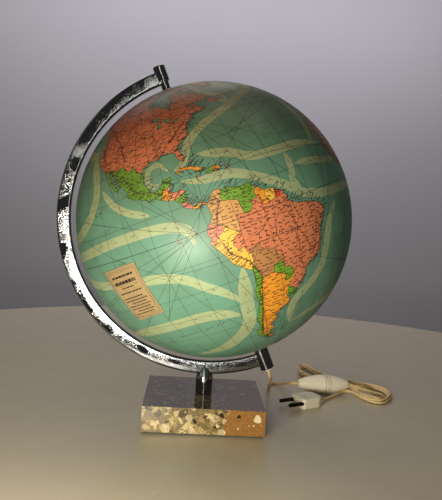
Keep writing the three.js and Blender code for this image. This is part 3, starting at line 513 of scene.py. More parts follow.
# Each area colours the part of its land that it covers, over the areas before it.
AREAS = [
    ("north_america", "salmon", [
        (-127, 49), (-95.2, 49), (-89.5, 48), (-84.5, 46.5), (-82.5, 45.3), (-82.4, 43), (-79, 42.8),
        (-76.3, 44.2), (-74.7, 45), (-71.5, 45), (-70, 46.7), (-67.8, 47), (-67, 44.7), (-60, 40),
        (-75, 24), (-97, 25.9), (-99.5, 27.5), (-101.5, 29.8), (-103, 29), (-104.7, 29.7),
        (-106.5, 31.8), (-111, 31.3), (-114.8, 32.5), (-117.2, 32.5), (-127, 32)]),
    ("north_america", "salmon", [
        (-141, 72), (-141, 60.2), (-135.5, 59.7), (-130, 55.5), (-135, 52), (-175, 50), (-175, 72)]),
    ("north_america", "green", [
        (-118, 32.5), (-114.8, 32.5), (-111, 31.3), (-106.5, 31.8), (-104.7, 29.7), (-103, 29),
        (-101.5, 29.8), (-99.5, 27.5), (-97, 25.9), (-90, 25), (-86, 22), (-88.2, 18.4), (-89.2, 17.8),
        (-91, 17.8), (-91.4, 16.1), (-92.2, 14.5), (-94, 13), (-110, 15), (-120, 28)]),
    ("north_america", "pink", [(-89.2, 17.8), (-88, 18.5), (-87, 17), (-88.8, 15.9)]),
    ("north_america", "orange", [
        (-92.3, 14.5), (-91.4, 16.1), (-91, 17.8), (-89.2, 17.8), (-89.2, 15.9), (-88.2, 15.7),
        (-89.4, 14.4), (-90.1, 13.7), (-91, 13)]),
    ("north_america", "pink", [
        (-88.2, 15.7), (-89.4, 14.4), (-87.8, 13.4), (-86.7, 13.3), (-85.2, 14.2), (-83, 15), (-84, 17),
        (-88, 17)]),
    ("north_america", "yellow", [(-90.1, 13.7), (-89.4, 14.4), (-87.8, 13.4), (-88.5, 12.5)]),
    ("north_america", "green", [
        (-87.8, 13.2), (-86.7, 13.3), (-85.2, 14.2), (-83, 15), (-82, 13), (-83.5, 10.9), (-85.6, 11.1),
        (-88, 12)]),
    ("north_america", "pink", [(-85.7, 11.1), (-83.5, 10.9), (-82, 10), (-82.9, 8), (-84, 8), (-87, 10)]),
    ("north_america", "orange", [
        (-82.9, 8), (-82.6, 9.6), (-80, 10.5), (-77, 9.5), (-77.4, 7.5), (-79, 6.5), (-82.5, 7)]),
    ("hispaniola", "orange", [(-71.7, 21), (-71.8, 17), (-67, 17), (-67, 21)]),
    ("south_america", "tan", [
        (-79, 1.5), (-77.5, 0.5), (-75.3, -0.1), (-73, -2.4), (-70, -4.2), (-69.5, -1), (-69.8, 1.7),
        (-67, 1.2), (-67.5, 6.2), (-70, 7), (-72.4, 7.4), (-72.8, 9.2), (-71.2, 12), (-72, 14), (-78, 12),
        (-80, 5)]),
    ("south_america", "green", [
        (-72.8, 9.2), (-72.4, 7.4), (-70, 7), (-67.5, 6.2), (-67, 1.2), (-65.5, 0.8), (-64, 1.5),
        (-63, 3.7), (-64.6, 4.2), (-61, 4.5), (-61.3, 6), (-60, 8.4), (-60, 12), (-71, 13.5), (-71.2, 12)]),
    ("south_america", "orange", [
        (-60, 8.4), (-61.3, 6), (-60, 5), (-59.5, 1.7), (-58, 1.5), (-57, 2), (-58, 4.5), (-57.2, 6.2),
        (-57, 8)]),
    ("south_america", "yellow", [
        (-57.2, 6.2), (-58, 4.5), (-56.5, 1.9), (-54.5, 2.4), (-54, 5.8), (-54, 7.5), (-57, 8)]),
    ("south_america", "red", [(-54, 5.8), (-54.5, 2.4), (-52.6, 2.4), (-51.6, 4.2), (-50, 5.5), (-54, 7.5)]),
    ("south_america", "pink", [
        (-79, 1.5), (-77.5, 0.5), (-75.3, -0.1), (-75.5, -2), (-78, -3.4), (-79, -5), (-80.4, -4.3),
        (-82, -3.5), (-82, 1.5)]),
    ("south_america", "yellow", [
        (-82, -3.6), (-80.4, -4.3), (-79, -5), (-78, -3.4), (-75.5, -2), (-75.3, -0.1), (-73, -2.4),
        (-70, -4.2), (-73, -5.5), (-74, -7.5), (-72.8, -9.8), (-70.5, -9.5), (-70.5, -11), (-68.8, -12.6),
        (-69, -15.5), (-69.5, -17.6), (-70.5, -18.4), (-74, -19), (-84, -8)]),
    ("south_america", "umber", [
        (-69.5, -17.6), (-69, -15.5), (-68.8, -12.6), (-69.5, -11), (-65.3, -9.8), (-65, -12),
        (-60.5, -13.7), (-60, -16.3), (-58.3, -17), (-57.6, -18), (-58, -20), (-62, -19.6), (-62.5, -22.2),
        (-64.5, -22.3), (-67, -22.8), (-68.2, -21.5), (-69.2, -19)]),
    ("south_america", "green", [
        (-62.6, -22.2), (-62, -19.8), (-59, -19.3), (-57.9, -20), (-57.8, -22.1), (-55.6, -22.2),
        (-54.3, -24), (-54.6, -25.6), (-56, -27.3), (-58.6, -27.2), (-57.7, -25.2)]),
    ("south_america", "green", [
        (-57.6, -30.2), (-55.5, -31), (-53.5, -32.5), (-52.8, -34), (-55, -36), (-58.4, -34.2), (-58, -32)]),
    ("south_america", "orange", [
        (-67.2, -22.8), (-64.5, -22.3), (-62.6, -22.2), (-57.7, -25.2), (-58.6, -27.2), (-56, -27.3),
        (-54.6, -25.6), (-53.7, -27), (-57.6, -30.2), (-58, -33.5), (-58.4, -34.2), (-55, -36),
        (-55, -56.5), (-68.6, -56.5), (-68.6, -52.3), (-72, -52), (-73, -50.5), (-72.2, -48),
        (-71.8, -43), (-71, -38), (-70, -33), (-69.8, -28), (-68.5, -24.5)]),
    ("south_america", "green", [
        (-74, -18.3), (-70.4, -18.3), (-69.4, -17.6), (-68.5, -20), (-67.2, -22.8), (-68.5, -24.5),
        (-69.8, -28), (-70, -33), (-71, -38), (-71.8, -43), (-72.2, -48), (-73, -50.5), (-72, -52),
        (-68.6, -52.3), (-68.6, -56.5), (-80, -56), (-80, -35), (-73, -25)]),
    ("fuegia", "green", [(-68.6, -50), (-68.6, -58), (-75, -58), (-75, -50)]),
    ("africa", "green", [(25, 33), (36.5, 33), (36, 22), (25, 22)]),
    ("africa", "tan", [(9.5, 38), (25, 34), (25, 20), (15, 23), (10, 25)]),
    ("africa", "orange", [(23, 22), (38, 22), (36, 14), (34, 4), (24, 8), (22, 15)]),
    ("africa", "yellow", [(36, 14), (43, 11.5), (48, 8), (42, 4), (34, 5)]),
    ("africa", "green", [(41, -2), (42, 4), (48, 8), (43, 11.8), (52, 13), (50, 2)]),
    ("africa", "pink", [(3, 5), (3, 13.5), (14, 13.5), (11, 7), (8.5, 3)]),
    ("africa", "yellow", [(12, -6), (18, 4.5), (27, 5), (31, 2), (29, -8), (30, -12), (22, -11), (16, -7)]),
    ("africa", "pink", [(30, -1), (34, 4.5), (42, 4), (42, -3), (40, -11), (31, -11)]),
    ("africa", "green", [(10, -6), (16, -7), (22, -11), (24, -17.5), (10, -17.5)]),
    ("africa", "green", [(30, -14), (41, -10.5), (43, -16), (33, -27.5), (31, -22)]),
    ("africa", "pink", [(19.8, -28), (20, -22), (28, -22), (33, -27), (31, -36), (15, -36), (16.5, -28.5)]),
    ("africa", "salmon", [
        (22, -18), (24, -17.5), (22, -11), (30, -12), (33, -10), (33, -16), (31, -22), (28, -22), (21, -22)]),
    ("eurasia", "green", [(-10, 36), (-9, 44), (-1.8, 43.4), (3.2, 42.5), (1, 40), (-1, 36)]),
    ("eurasia", "orange", [(-1.8, 43.4), (-6, 49), (2.5, 51), (7.8, 49), (6, 46), (7.5, 43.5), (3.2, 42.5)]),
    ("eurasia", "yellow", [
        (6, 51), (6, 54), (14.5, 54.5), (15, 51), (12.5, 50.3), (13.5, 48), (9, 47.5), (7.8, 49)]),
    ("eurasia", "pink", [(6.5, 44), (7, 46), (13.5, 46.6), (14, 44.5), (19.5, 40), (16, 36), (8, 42)]),
    ("eurasia", "green", [(14.5, 55), (24, 54.5), (24, 49), (15, 50.5)]),
    ("eurasia", "tan", [(13.5, 45.5), (22, 48), (29, 45.5), (28.5, 41), (22, 35), (18, 40)]),
    ("eurasia", "yellow", [
        (4, 58), (10.5, 58), (12, 61), (12.5, 64.5), (24, 69), (30, 69), (29, 72), (5, 66)]),
    ("eurasia", "green", [
        (11, 58), (12, 61), (12.5, 64.5), (20.5, 69), (24, 66), (17, 60), (17, 55), (12.5, 54.8)]),
    ("eurasia", "tan", [(21, 59.7), (29, 61), (31, 63), (30, 69), (24, 69), (20.5, 69), (24, 66)]),
    ("eurasia", "orange", [(25, 41), (30, 42), (44, 41), (44, 37), (36, 36), (26, 36)]),
    ("eurasia", "umber", [(44, 39.5), (54, 37), (61, 37), (61, 30), (63, 25), (54, 25), (48, 30)]),
    ("eurasia", "yellow", [
        (34, 30), (36, 33.5), (42, 37), (46, 33), (49, 30), (60, 26), (60, 18), (43, 11), (34, 26)]),
    ("eurasia", "pink", [(61, 37), (71, 37), (74.5, 37), (70, 31), (62, 24), (61, 30)]),
    ("eurasia", "pink", [
        (67, 23), (74.5, 35), (78.5, 32), (81, 30), (88, 27.5), (97, 28), (92, 21), (80, 5), (70, 8)]),
    ("eurasia", "yellow", [
        (74.5, 37), (80, 42), (87, 49), (97, 42.8), (105, 41.6), (111, 43.5), (119, 47), (117, 50),
        (126, 53), (135, 48.5), (131, 42.8), (124, 40), (123, 30), (115, 20), (102, 21.5), (97, 28),
        (81, 30)]),
    ("eurasia", "tan", [(87, 49), (97, 42.8), (105, 41.6), (111, 43.5), (119, 47), (117, 50), (98, 52)]),
    ("eurasia", "green", [(124, 40), (131, 43), (131, 34), (125, 34)]),
    ("eurasia", "green", [(92, 21), (97, 28), (101, 21.5), (98, 17), (99, 9), (97, 12)]),
    ("eurasia", "orange", [
        (101, 21.5), (102, 21.5), (108, 21.5), (111, 14), (106, 7.5), (102.5, 12), (105, 15)]),
    ("eurasia", "salmon", [(97.5, 19), (101, 21), (105, 15), (102.5, 12), (99, 9.5)]),
    ("australia", "tan", [(138, -10), (138, -26), (141, -29), (155, -28), (155, -8)]),
    ("australia", "yellow", [(110, -36), (129, -36), (129, -13), (110, -13)]),
    ("new_guinea", "green", [(141, 0), (141, -11), (152, -12), (152, 0)]),
]
INNER_BORDERS = [
    [(-124, 42), (-111, 42), (-111, 31.3)], [(-114, 49), (-114, 42), (-114, 36), (-117, 33)],
    [(-120, 42), (-120, 39), (-114.5, 35)], [(-117, 49), (-117, 42)], [(-111, 45), (-104, 45)],
    [(-104, 49), (-104, 41), (-102, 41), (-102, 37)], [(-111, 41), (-102, 41)],
    [(-114, 37), (-94.5, 37)], [(-109, 41), (-109, 31.5)], [(-103, 37), (-103, 32), (-106.5, 32)],
    [(-100, 37), (-100, 34.5), (-94.4, 33.6), (-94, 31), (-93.8, 29.8)], [(-104, 46), (-96.5, 46)],
    [(-104, 43), (-91, 43.5)], [(-97, 49), (-96.5, 43), (-95.5, 40), (-94.6, 39), (-94.5, 33.5)],
    [(-102, 40), (-95.3, 40), (-91.5, 40.6)], [(-91, 47), (-91.2, 43), (-90.2, 41.8), (-91.4, 40),
                                               (-89.2, 37), (-91, 33), (-89.6, 30.2)],
    [(-89.2, 37), (-81.7, 36.6), (-75.9, 36.5)], [(-94.5, 36.5), (-89.6, 36.5)], [(-90, 35), (-83.1, 35)],
    [(-88.2, 35), (-88.4, 30.3)], [(-85.6, 35), (-85, 31), (-82, 30.6)], [(-88, 42), (-87.6, 38)],
    [(-84.8, 41.7), (-84.8, 39), (-82, 38)], [(-80.5, 42), (-80.5, 39.7), (-75.5, 39.7)],
    [(-79.8, 42), (-75.3, 42), (-74.7, 41.3)], [(-73.4, 45), (-73.5, 41)], [(-71.2, 45), (-70.8, 43)],
    [(-139, 60), (-94.8, 60)], [(-120, 60), (-120, 54), (-114.2, 49)], [(-110, 60), (-110, 49)],
    [(-102, 60), (-101.5, 49)], [(-95, 60), (-89, 56.8)], [(-95.2, 53), (-95.2, 49)],
    [(-79.5, 51.5), (-79.5, 46.5)],
    [(-106, 31.5), (-104, 25), (-101, 22), (-98, 22)], [(-109, 27), (-106, 24), (-104, 22)],
    [(-102, 25), (-99, 23)], [(-103, 20), (-98, 19), (-96, 17)],
    [(-60, -13.7), (-60, -8), (-66, -4), (-70, -4)], [(-56, 2), (-57, -4), (-58, -8.5), (-50.3, -9.8)],
    [(-50.3, -9.8), (-51, -15), (-53, -19), (-51, -20)], [(-46, -1), (-47, -8), (-46, -15), (-50.5, -16)],
    [(-42, -3), (-42, -9), (-38, -9)], [(-46, -15), (-45.5, -22)], [(-51, -20), (-49, -26)],
    [(-68, -38), (-62, -39)], [(-71.5, -42), (-64.5, -42)], [(-71.8, -46), (-67.4, -46)],
    [(-68, -32), (-64, -31.5), (-60.5, -31)], [(-65, -26), (-60, -28)],
    [(67, 55), (60, 60), (60, 68)], [(86, 50), (86, 70)], [(108, 50), (113, 60), (111, 73)],
    [(135, 55), (150, 70)],
    [(129, -15), (129, -31.5)], [(138, -26), (129, -26)], [(141, -34), (149, -37)],
]
# A current is a pale band: its width in degrees, then its middle line.
CURRENTS = [
    (3.6, [
        (-175, 3), (-158, 4), (-140, 5), (-123, 6), (-110, 6.3), (-100, 6), (-93, 5), (-88, 3), (-86, 0),
        (-86.5, -3.5)]),
    (4.2, [
        (-131, 47), (-128, 39), (-124, 32), (-123, 25), (-127, 19), (-134, 15), (-145, 12), (-162, 11),
        (-179, 11)]),
    (2.6, [(-119, 26), (-114, 20), (-109, 16), (-104, 13.3), (-98, 11)]),
    (3.6, [
        (-179, -8), (-165, -7), (-150, -6), (-134, -8), (-118, -9), (-102, -11), (-94, -14), (-88, -19),
        (-82, -24), (-76, -31)]),
    (5.0, [(-73.5, -16), (-75, -24), (-76.5, -33), (-78, -40), (-84, -46), (-98, -52), (-120, -54)]),
    (4.6, [(-150, -34), (-132, -32), (-117, -31), (-104, -30.5), (-95, -30.5), (-87, -32), (-80, -35)]),
    (3.6, [(-26, -6), (-33, -13), (-36, -21), (-40, -29), (-48, -34.5), (-54, -38), (-56, -43), (-56, -50)]),
    (3.4, [
        (6, -4), (-12, -3), (-29, -2.5), (-41, 0), (-46, 3), (-50, 6), (-55, 9.5), (-64, 14.6), (-70, 16),
        (-77, 16.5), (-84, 18.5)]),
    (3.4, [(-20, 16), (-36, 18), (-47, 18), (-57, 19), (-63, 22.6), (-69, 24.3), (-75, 26)]),
    (2.4, [(-14, 8), (-23, 9), (-33, 10.5), (-41, 11)]),
    (2.6, [(-43, 16), (-43.5, 10), (-45, 6), (-43, 2.6)]),
    (3.0, [
        (-85, 23), (-81.5, 24), (-79, 28), (-75.5, 32.5), (-69, 36.5), (-61, 39.5), (-50, 43), (-38, 47),
        (-22, 52), (-10, 59), (3, 66), (14, 72)]),
    (1.8, [(-87, 23.4), (-90, 27), (-94.5, 26.6), (-96, 23), (-94.5, 20.2), (-91.5, 20.2)]),
    (3.0, [(-13, 43), (-17, 33), (-20, 24), (-25, 17)]), (3.2, [(-57, 64), (-57, 57), (-50, 50), (-51, 44)]),
    (3.0, [(-14, 76), (-24, 69), (-34, 63), (-44, 58)]),
    (3.4, [(-134, 51), (-141, 57), (-155, 56), (-170, 52), (-179, 51)]),
    (4.0, [(179, 43), (162, 41), (148, 38), (138, 33), (129, 28), (123, 22)]),
    (4.0, [(-179, 43), (-160, 44), (-142, 45), (-129, 42)]),
    (4.0, [(179, 12), (160, 13), (142, 14), (128, 14)]),
    (4.2, [(179, -9), (165, -15), (156, -22), (155, -32), (162, -39)]),
    (4.2, [(112, -36), (108, -28), (98, -19), (80, -13), (62, -13), (50, -19)]),
    (3.6, [(50, -19), (41, -26), (33, -33), (21, -38)]),
    (4.2, [(14, -34), (9, -24), (2, -14), (-8, -7)]), (3.4, [(58, 12), (54, 4), (46, -3), (43, -9)]),
    (5.0, [
        (-56, -50), (-30, -48), (0, -46), (30, -44), (60, -46), (90, -47), (120, -47), (150, -50),
        (179, -54)]),
    (3.0, [(70, 2), (85, -1), (97, -4)]), (3.0, [(156, 58), (160, 50), (152, 44)]),
]
HUBS = [
    ((-84, 0), [
        (-157, 21), (-149, -17), (-122, 37), (-109, 23), (-71, -33), (-80, 8), (-140, -9), (-176, -20),
        (-110, -27)]),
    ((-99, -11), [
        (-84, 0), (-79, 8), (-157, 21), (-118, 33), (-77, -12), (-75, -47), (175, -41), (-109, -27)]),
    ((-79, 9), [(-97, 19), (-90, 29), (-74, 40), (-66, 18), (-5, 48), (-61, 12), (-118, 33)]),
    ((-74, 40), [(-9, 38), (-5, 50), (-34, -8), (-66, 18), (-43, -23), (18, -34)]),
    ((-43, -23), [(-17, 14), (18, -34), (-9, 38), (-57, -35), (-61, -51)]),
    ((-68, -56), [(-57, -36), (-74, -40), (18, -34), (172, -44)]),
    ((-17, 14), [(-34, -8), (-66, 18), (-9, 38), (18, -34)]),
    ((18, -34), [(55, -21), (115, -32), (72, 18), (104, -40)]),
    ((45, 12), [(72, 18), (80, 6), (115, -32), (40, -5)]),
    ((104, 1), [(80, 6), (115, -20), (114, 22), (106, 10)]),
    ((151, -34), [(173, -41), (179, -18), (115, -36), (140, -3)]),
    ((140, 35), [(121, 31), (179, 45), (158, 7), (114, 22)]),
    ((-157, 21), [(-122, 37), (-149, -17), (-179, 40), (-179, 12), (-171, -14)]),
]
LABEL = [(-128.4, -3.0), (-110.2, -2.1), (-109.1, -23.5), (-125.7, -24.9)]
RIVERS = [
    [(-111, 46), (-101, 47.5), (-97, 42.8), (-90.3, 38.8), (-91, 33), (-89.4, 29.3)],
    [(-80, 40.4), (-86, 38), (-89.2, 37)], [(-106, 38), (-106.5, 32), (-101, 29.6), (-97.3, 26)],
    [(-109, 40), (-113, 36), (-114.8, 32)], [(-118, 52), (-117, 47), (-123.8, 46.2)],
    [(-117, 59), (-119, 62), (-128, 66), (-134, 69)], [(-76.3, 44.2), (-72, 46.5), (-67, 49)],
    [(-77, -10), (-75, -5), (-70, -4), (-60, -3), (-53, -1.8), (-50.5, 0)],
    [(-69, -16), (-65, -10), (-59, -3.4)],
    [(-72, -9), (-66, -7), (-61, -4)], [(-57, -14), (-58, -8), (-55, -2.4)],
    [(-51, -18), (-51, -11), (-48, -5), (-49, -1)],
    [(-46, -20), (-43, -12), (-40, -9), (-36.5, -10.4)], [(-66, 3), (-67.5, 6), (-63, 8), (-61, 9)],
    [(-57.5, -16), (-57.8, -25), (-60, -31), (-58.5, -34)], [(-50, -19), (-54, -25), (-58.5, -27.3)],
    [(-76, 2), (-74, 8), (-74.8, 11)], [(32, 0), (31, 8), (33, 16), (31, 22), (32.5, 26), (31, 31)],
    [(27, -11), (25, 0), (18, 1), (16, -4), (12.5, -6)], [(-10, 9.5), (-3, 16.5), (4, 11), (6, 5)],
    [(22, -14), (28, -17), (36, -18.5)], [(33, 57), (44, 56), (49, 54), (45, 48), (47.5, 46)],
    [(84, 51), (74, 57), (69, 61), (72, 67)], [(94, 52), (92, 58), (86, 66), (82, 72)],
    [(106, 54), (118, 60), (127, 63), (126, 72)],
    [(92, 33), (100, 27), (106, 29), (114, 30), (121, 31.7)], [(97, 34), (107, 39), (111, 35), (118, 37.5)],
    [(78, 30), (83, 25.5), (88, 24), (90, 22)], [(76, 33), (71, 29), (67.5, 24.5)],
    [(9, 47), (7, 51), (4.5, 52)],
    [(10, 48), (19, 47), (22, 44), (29, 45)], [(148, -27), (142, -33), (139, -35)],
]
RANGES = [
    [(-150, 62.5), (-138, 60.5), (-127, 55), (-118, 51), (-113, 46), (-108, 40), (-105.5, 34)],
    [(-121.5, 48), (-121.5, 42), (-118, 36)], [(-107, 28), (-103, 22), (-98, 18.5)],
    [(-84, 34.5), (-79, 38.5), (-74, 42.5)],
    [
        (-73.5, 8), (-76.5, 2), (-78.5, -3), (-76, -10), (-70.5, -15), (-67.5, -21), (-69, -28),
        (-70.2, -35), (-71.8, -43), (-73, -50),
    ],
    [(-44, -21), (-42, -16), (-41, -11)], [(-64, 5), (-60, 2)], [(-8, 31), (0, 34), (8, 35.5)],
    [(36, 14), (37, 6), (36, -2)], [(18, -33), (28, -30)], [(6, 45), (10, 46.7), (14, 47)],
    [(60, 66), (59, 55)], [(70, 35.5), (78, 35), (84, 28.5), (93, 28), (99, 27)],
    [(72, 41), (82, 43), (94, 48)],
    [(8, 60), (14, 66), (19, 69)], [(146, -18), (152, -29), (148, -37)],
]


# ---- Building the ball's skin ----
GLOBE_CENTRE = np.array([0, 0, 224]) * MM
GLOBE_RADIUS = 150 * MM
AXIS_TILT = math.radians(23.5)
AXIS = np.array([-math.sin(AXIS_TILT), 0, math.cos(AXIS_TILT)])
EAST = np.array([math.cos(AXIS_TILT), 0, math.sin(AXIS_TILT)])
FRONT = np.array([0, -1.0, 0])
FACING_LONGITUDE = -76.05
POLE_EDGE = 88.2
CAP_EDGE = 86.2
GRID_STEP = 3
DEGREES_PER_MM = math.degrees(1 / 150)
INK_HEIGHT = 0.09 * MM
INK_SEED = 11
STAIN = (-124.4, 6.6)

PAINTS = {
    "sea": srgb(100, 152, 128), "current": srgb(164, 182, 138), "paper": srgb(176, 152, 108),
    "ice": srgb(224, 218, 196), "rust": srgb(212, 110, 26), "salmon": srgb(220, 130, 88),
    "green": srgb(112, 164, 40), "pink": srgb(228, 136, 104), "orange": srgb(240, 158, 40),
    "yellow": srgb(244, 192, 74), "tan": srgb(214, 160, 92), "umber": srgb(180, 126, 74),
    "red": srgb(206, 66, 44), "cap": srgb(255, 248, 214),
}


def on_ball(degrees, height=0.0):
    """Turns rows of (longitude, latitude) into points height above the ball's skin."""
    east, north = np.radians(np.array(degrees, float)).T
    east = east - math.radians(FACING_LONGITUDE)
    level = np.cos(north)
    outward = np.outer(level * np.cos(east), FRONT)
    outward += np.outer(level * np.sin(east), EAST)
    outward += np.outer(np.sin(north), AXIS)
    return GLOBE_CENTRE + outward * (GLOBE_RADIUS + height)


def shrink(latitude):
    """How much shorter a degree of longitude is at this latitude."""
    return max(0.15, math.cos(math.radians(latitude)))


def wander(outline, seed, amount=0.13, longest=1.5, closed=True):
    """Breaks each straight run into a coast-like line with small bays and points."""
    chance = random.Random(seed)

    def between(a, b):
        east, north = (b[0] - a[0]) * shrink(a[1]), b[1] - a[1]
        length = math.hypot(east, north)
        if length < longest:
            return [a]
        shift = chance.uniform(-amount, amount)
        middle = ((a[0] + b[0]) / 2 - shift * north / shrink(a[1]), (a[1] + b[1]) / 2 + shift * east)
        return between(a, middle) + between(middle, b)

    ends = outline[1:] + outline[:1] if closed else outline[1:]
    line = [point for a, b in zip(outline, ends) for point in between(a, b)]
    return line if closed else line + [outline[-1]]


def smooth_line(points, per_span=8):
    return spline([(*p, 0) for p in points], per_span)[:, :2]


def band(width, middle):
    """The outline of a current: a band along its middle line that comes to a point at both ends."""
    line = smooth_line(middle)
    ahead = np.gradient(line, axis=0)
    squeeze = np.array([shrink(y) for y in line[:, 1]])
    side = np.stack([-ahead[:, 1], ahead[:, 0] * squeeze], axis=1)
    side /= np.hypot(side[:, 0], side[:, 1])[:, None]
    side[:, 0] /= squeeze
    along = np.linspace(0, 1, len(line))
    taper = np.minimum(1, np.minimum(along, 1 - along) * 6) ** 0.6 * width / 2
    edge = side * taper[:, None]
    return [tuple(p) for p in np.vstack([line + edge, (line - edge)[::-1]])]


def inside(points, outline):
    """Which of the points lie inside the outline."""
    x, y = points.T
    hit = np.zeros(len(points), bool)
    for (ax, ay), (bx, by) in zip(outline, outline[1:] + outline[:1]):
        crosses = (ay > y) != (by > y)
        if ay != by:
            hit ^= crosses & (x < ax + (y - ay) * (bx - ax) / (by - ay))
    return hit


def map_outlines():
    """Every closed outline of the map in painting order: (land it is kept to, paint, outline)."""
    shapes = [(None, "current", band(width, middle)) for width, middle in CURRENTS]
    for seed, (land, outline) in enumerate(LANDS.items()):
        shapes.append((land, LAND_COLORS[land], wander(outline, seed)))
    for seed, (land, paint, outline) in enumerate(AREAS):
        shapes.append(("within " + land, paint, wander(outline, 100 + seed, 0.07, 2.5)))
    shapes += [("within north_america", "sea", wander(lake, 300 + i)) for i, lake in enumerate(LAKES)]
    for edge, pole in ((CAP_EDGE, POLE_EDGE), (-POLE_EDGE, -CAP_EDGE)):
        shapes.append((None, "cap", [(-180, edge), (180, edge), (180, pole), (-180, pole)]))
    shapes.append((None, "paper", LABEL))
    return shapes


def triangulate(outlines):
    """Cuts the flat map into triangles that follow the outlines and are small enough to bend."""
    points, edges = [], []
    for outline in outlines:
        first = len(points)
        points += outline
        edges += [(first + i, first + (i + 1) % len(outline)) for i in range(len(outline))]
    rows = [-POLE_EDGE, *range(-87, 88, GRID_STEP), POLE_EDGE]
    points += [(x, y) for y in rows for x in range(-180, 181, GRID_STEP)]
    flat = [Vector((max(-180, min(180, x)), max(-POLE_EDGE, min(POLE_EDGE, y)))) for x, y in points]
    corners, _, faces, *_ = delaunay_2d_cdt(flat, edges, [], 0, 1e-4)
    return np.array([tuple(c) for c in corners]), np.array(faces)


def paint_regions(centres, shapes):
    """The shape that shows at each centre, or -1 for open sea, and the paint there."""
    region = np.full(len(centres), -1)
    paint = np.full(len(centres), "sea", dtype=object)
    land_of = np.full(len(centres), "", dtype=object)
    for index, (land, color, outline) in enumerate(shapes):
        hit = inside(centres, outline)
        if land and land.startswith("within "):
            wanted = land[len("within "):]
            hit &= land_of == wanted if color != "sea" else land_of != ""
        elif land:
            land_of[hit] = land
        region[hit] = index
        paint[hit] = color
    return region, paint


class Ink:
    """Collects printed lines as thin ribbons that lie just above the skin."""

    def __init__(self):
        self.points, self.faces = [], []
        self.chance = random.Random(INK_SEED)

    def line(self, degrees, width):
        """A line through rows of (longitude, latitude), width millimetres wide."""
        route = on_ball(degrees, INK_HEIGHT)
        side = np.cross(route - GLOBE_CENTRE, np.gradient(route, axis=0))
        side *= width * MM / 2 / np.linalg.norm(side, axis=1)[:, None]
        first = len(self.points)
        self.points.extend(np.stack([route - side, route + side], axis=1).reshape(-1, 3))
        self.faces.extend(
            (first + 2 * i, first + 2 * i + 2, first + 2 * i + 3, first + 2 * i + 1)
            for i in range(len(route) - 1)
        )

    def line_under_label(self, degrees, width):
        """A line that stops where it meets the paper label."""
        rows = np.array(degrees, float)
        marks = np.linspace(0, len(rows) - 1, 12 * len(rows))
        fine = np.stack([np.interp(marks, range(len(rows)), rows[:, i]) for i in range(2)], axis=1)
        hidden = inside(fine, LABEL)
        if not hidden.any():
            self.line(rows, width)
            return
        for run in np.split(np.arange(len(fine)), np.flatnonzero(np.diff(hidden)) + 1):
            if not hidden[run[0]]:
                self.line(fine[run], width)

    def strokes(self, at, marks, width, turn=0.0):
        """Short strokes about a point; marks holds rows of (x0, y0, x1, y1) in millimetres."""
        squeeze = shrink(at[1])
        cosine, sine = math.cos(turn), math.sin(turn)
        for x0, y0, x1, y1 in marks:
            ends = [
                (at[0] + (x * cosine - y * sine) * DEGREES_PER_MM / squeeze,
                 at[1] + (x * sine + y * cosine) * DEGREES_PER_MM)
                for x, y in ((x0, y0), (x1, y1))
            ]
            self.line(ends, width)

    def word(self, at, height=1.1, pitch=0.8, letters=None, width=0.3, turn=0.0):
        """A row of plain ticks and dashes that stands for a name and spells nothing."""
        chance = self.chance
        marks = []
        for i in range(letters or chance.randint(4, 9)):
            x = i * pitch
            top = height * (1.35 if i == 0 else chance.choice((0.7, 0.75, 1.0)))
            marks.append((x, 0, x + chance.uniform(-0.1, 0.1), top))
            if chance.random() < 0.6:
                level = chance.choice((0.1, 0.45, 0.7)) * height
                marks.append((x, level, x + 0.6 * pitch, level))
        self.strokes(at, marks, width, turn)

    def piece(self, name, material):
        piece = add_mesh(name, self.points, self.faces, material)
        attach(piece, "globe")
        return piece


def ink_borders(ink, corners, faces, region, paint):
    """A dark line wherever two different lands, or land and water, meet."""
    water = np.isin(paint, ("sea", "current"))
    sides = {}
    for face, (a, b, c) in enumerate(faces):
        for edge in ((a, b), (b, c), (c, a)):
            sides.setdefault((min(edge), max(edge)), []).append(face)
    for (a, b), pair in sides.items():
        if len(pair) < 2 or region[pair[0]] == region[pair[1]] or water[pair].all():
            continue
        ink.line(corners[[a, b]], 0.42 if water[pair].any() else 0.34)


def ink_graticule(ink):
    for longitude in range(-180, 180, 10):
        ink.line_under_label([(longitude, y) for y in np.arange(-84, 84.1, 3)], 0.28)
    for latitude in range(-80, 81, 10):
        ink.line_under_label([(x, latitude) for x in range(-180, 181, 3)], 0.5 if latitude == 0 else 0.28)
    for latitude in (23.45, -23.45, 66.5, -66.5):
        for longitude in np.arange(-180, 180, 2.4):
            ink.line([(longitude, latitude), (longitude + 1.4, latitude)], 0.22)


def ink_great_circle(ink, start, end):
    a, b = (on_ball([p])[0] - GLOBE_CENTRE for p in (start, end))
    steps = np.linspace(0, 1, 26)[:, None]
    chord = a * (1 - steps) + b * steps
    outward = chord / np.linalg.norm(chord, axis=1)[:, None]
    north = np.degrees(np.arcsin(outward @ AXIS))
    east = np.degrees(np.arctan2(outward @ EAST, outward @ FRONT)) + FACING_LONGITUDE
    ink.line_under_label(np.stack([east, north], axis=1), 0.3)


def ink_sea(ink):
    for hub, ports in HUBS:
        for port in ports:
            ink_great_circle(ink, hub, port)
    for _, middle in CURRENTS:
        line = smooth_line(middle, 4)
        for i in range(2, len(line) - 2, 3):
            east, north = (line[i + 1] - line[i]) * (shrink(line[i][1]), 1)
            arrow = [(-2, 0, 2.4, 0), (2.4, 0, 1.2, 0.6), (2.4, 0, 1.2, -0.6)]
            ink.strokes(line[i], arrow, 0.26, math.atan2(north, east))


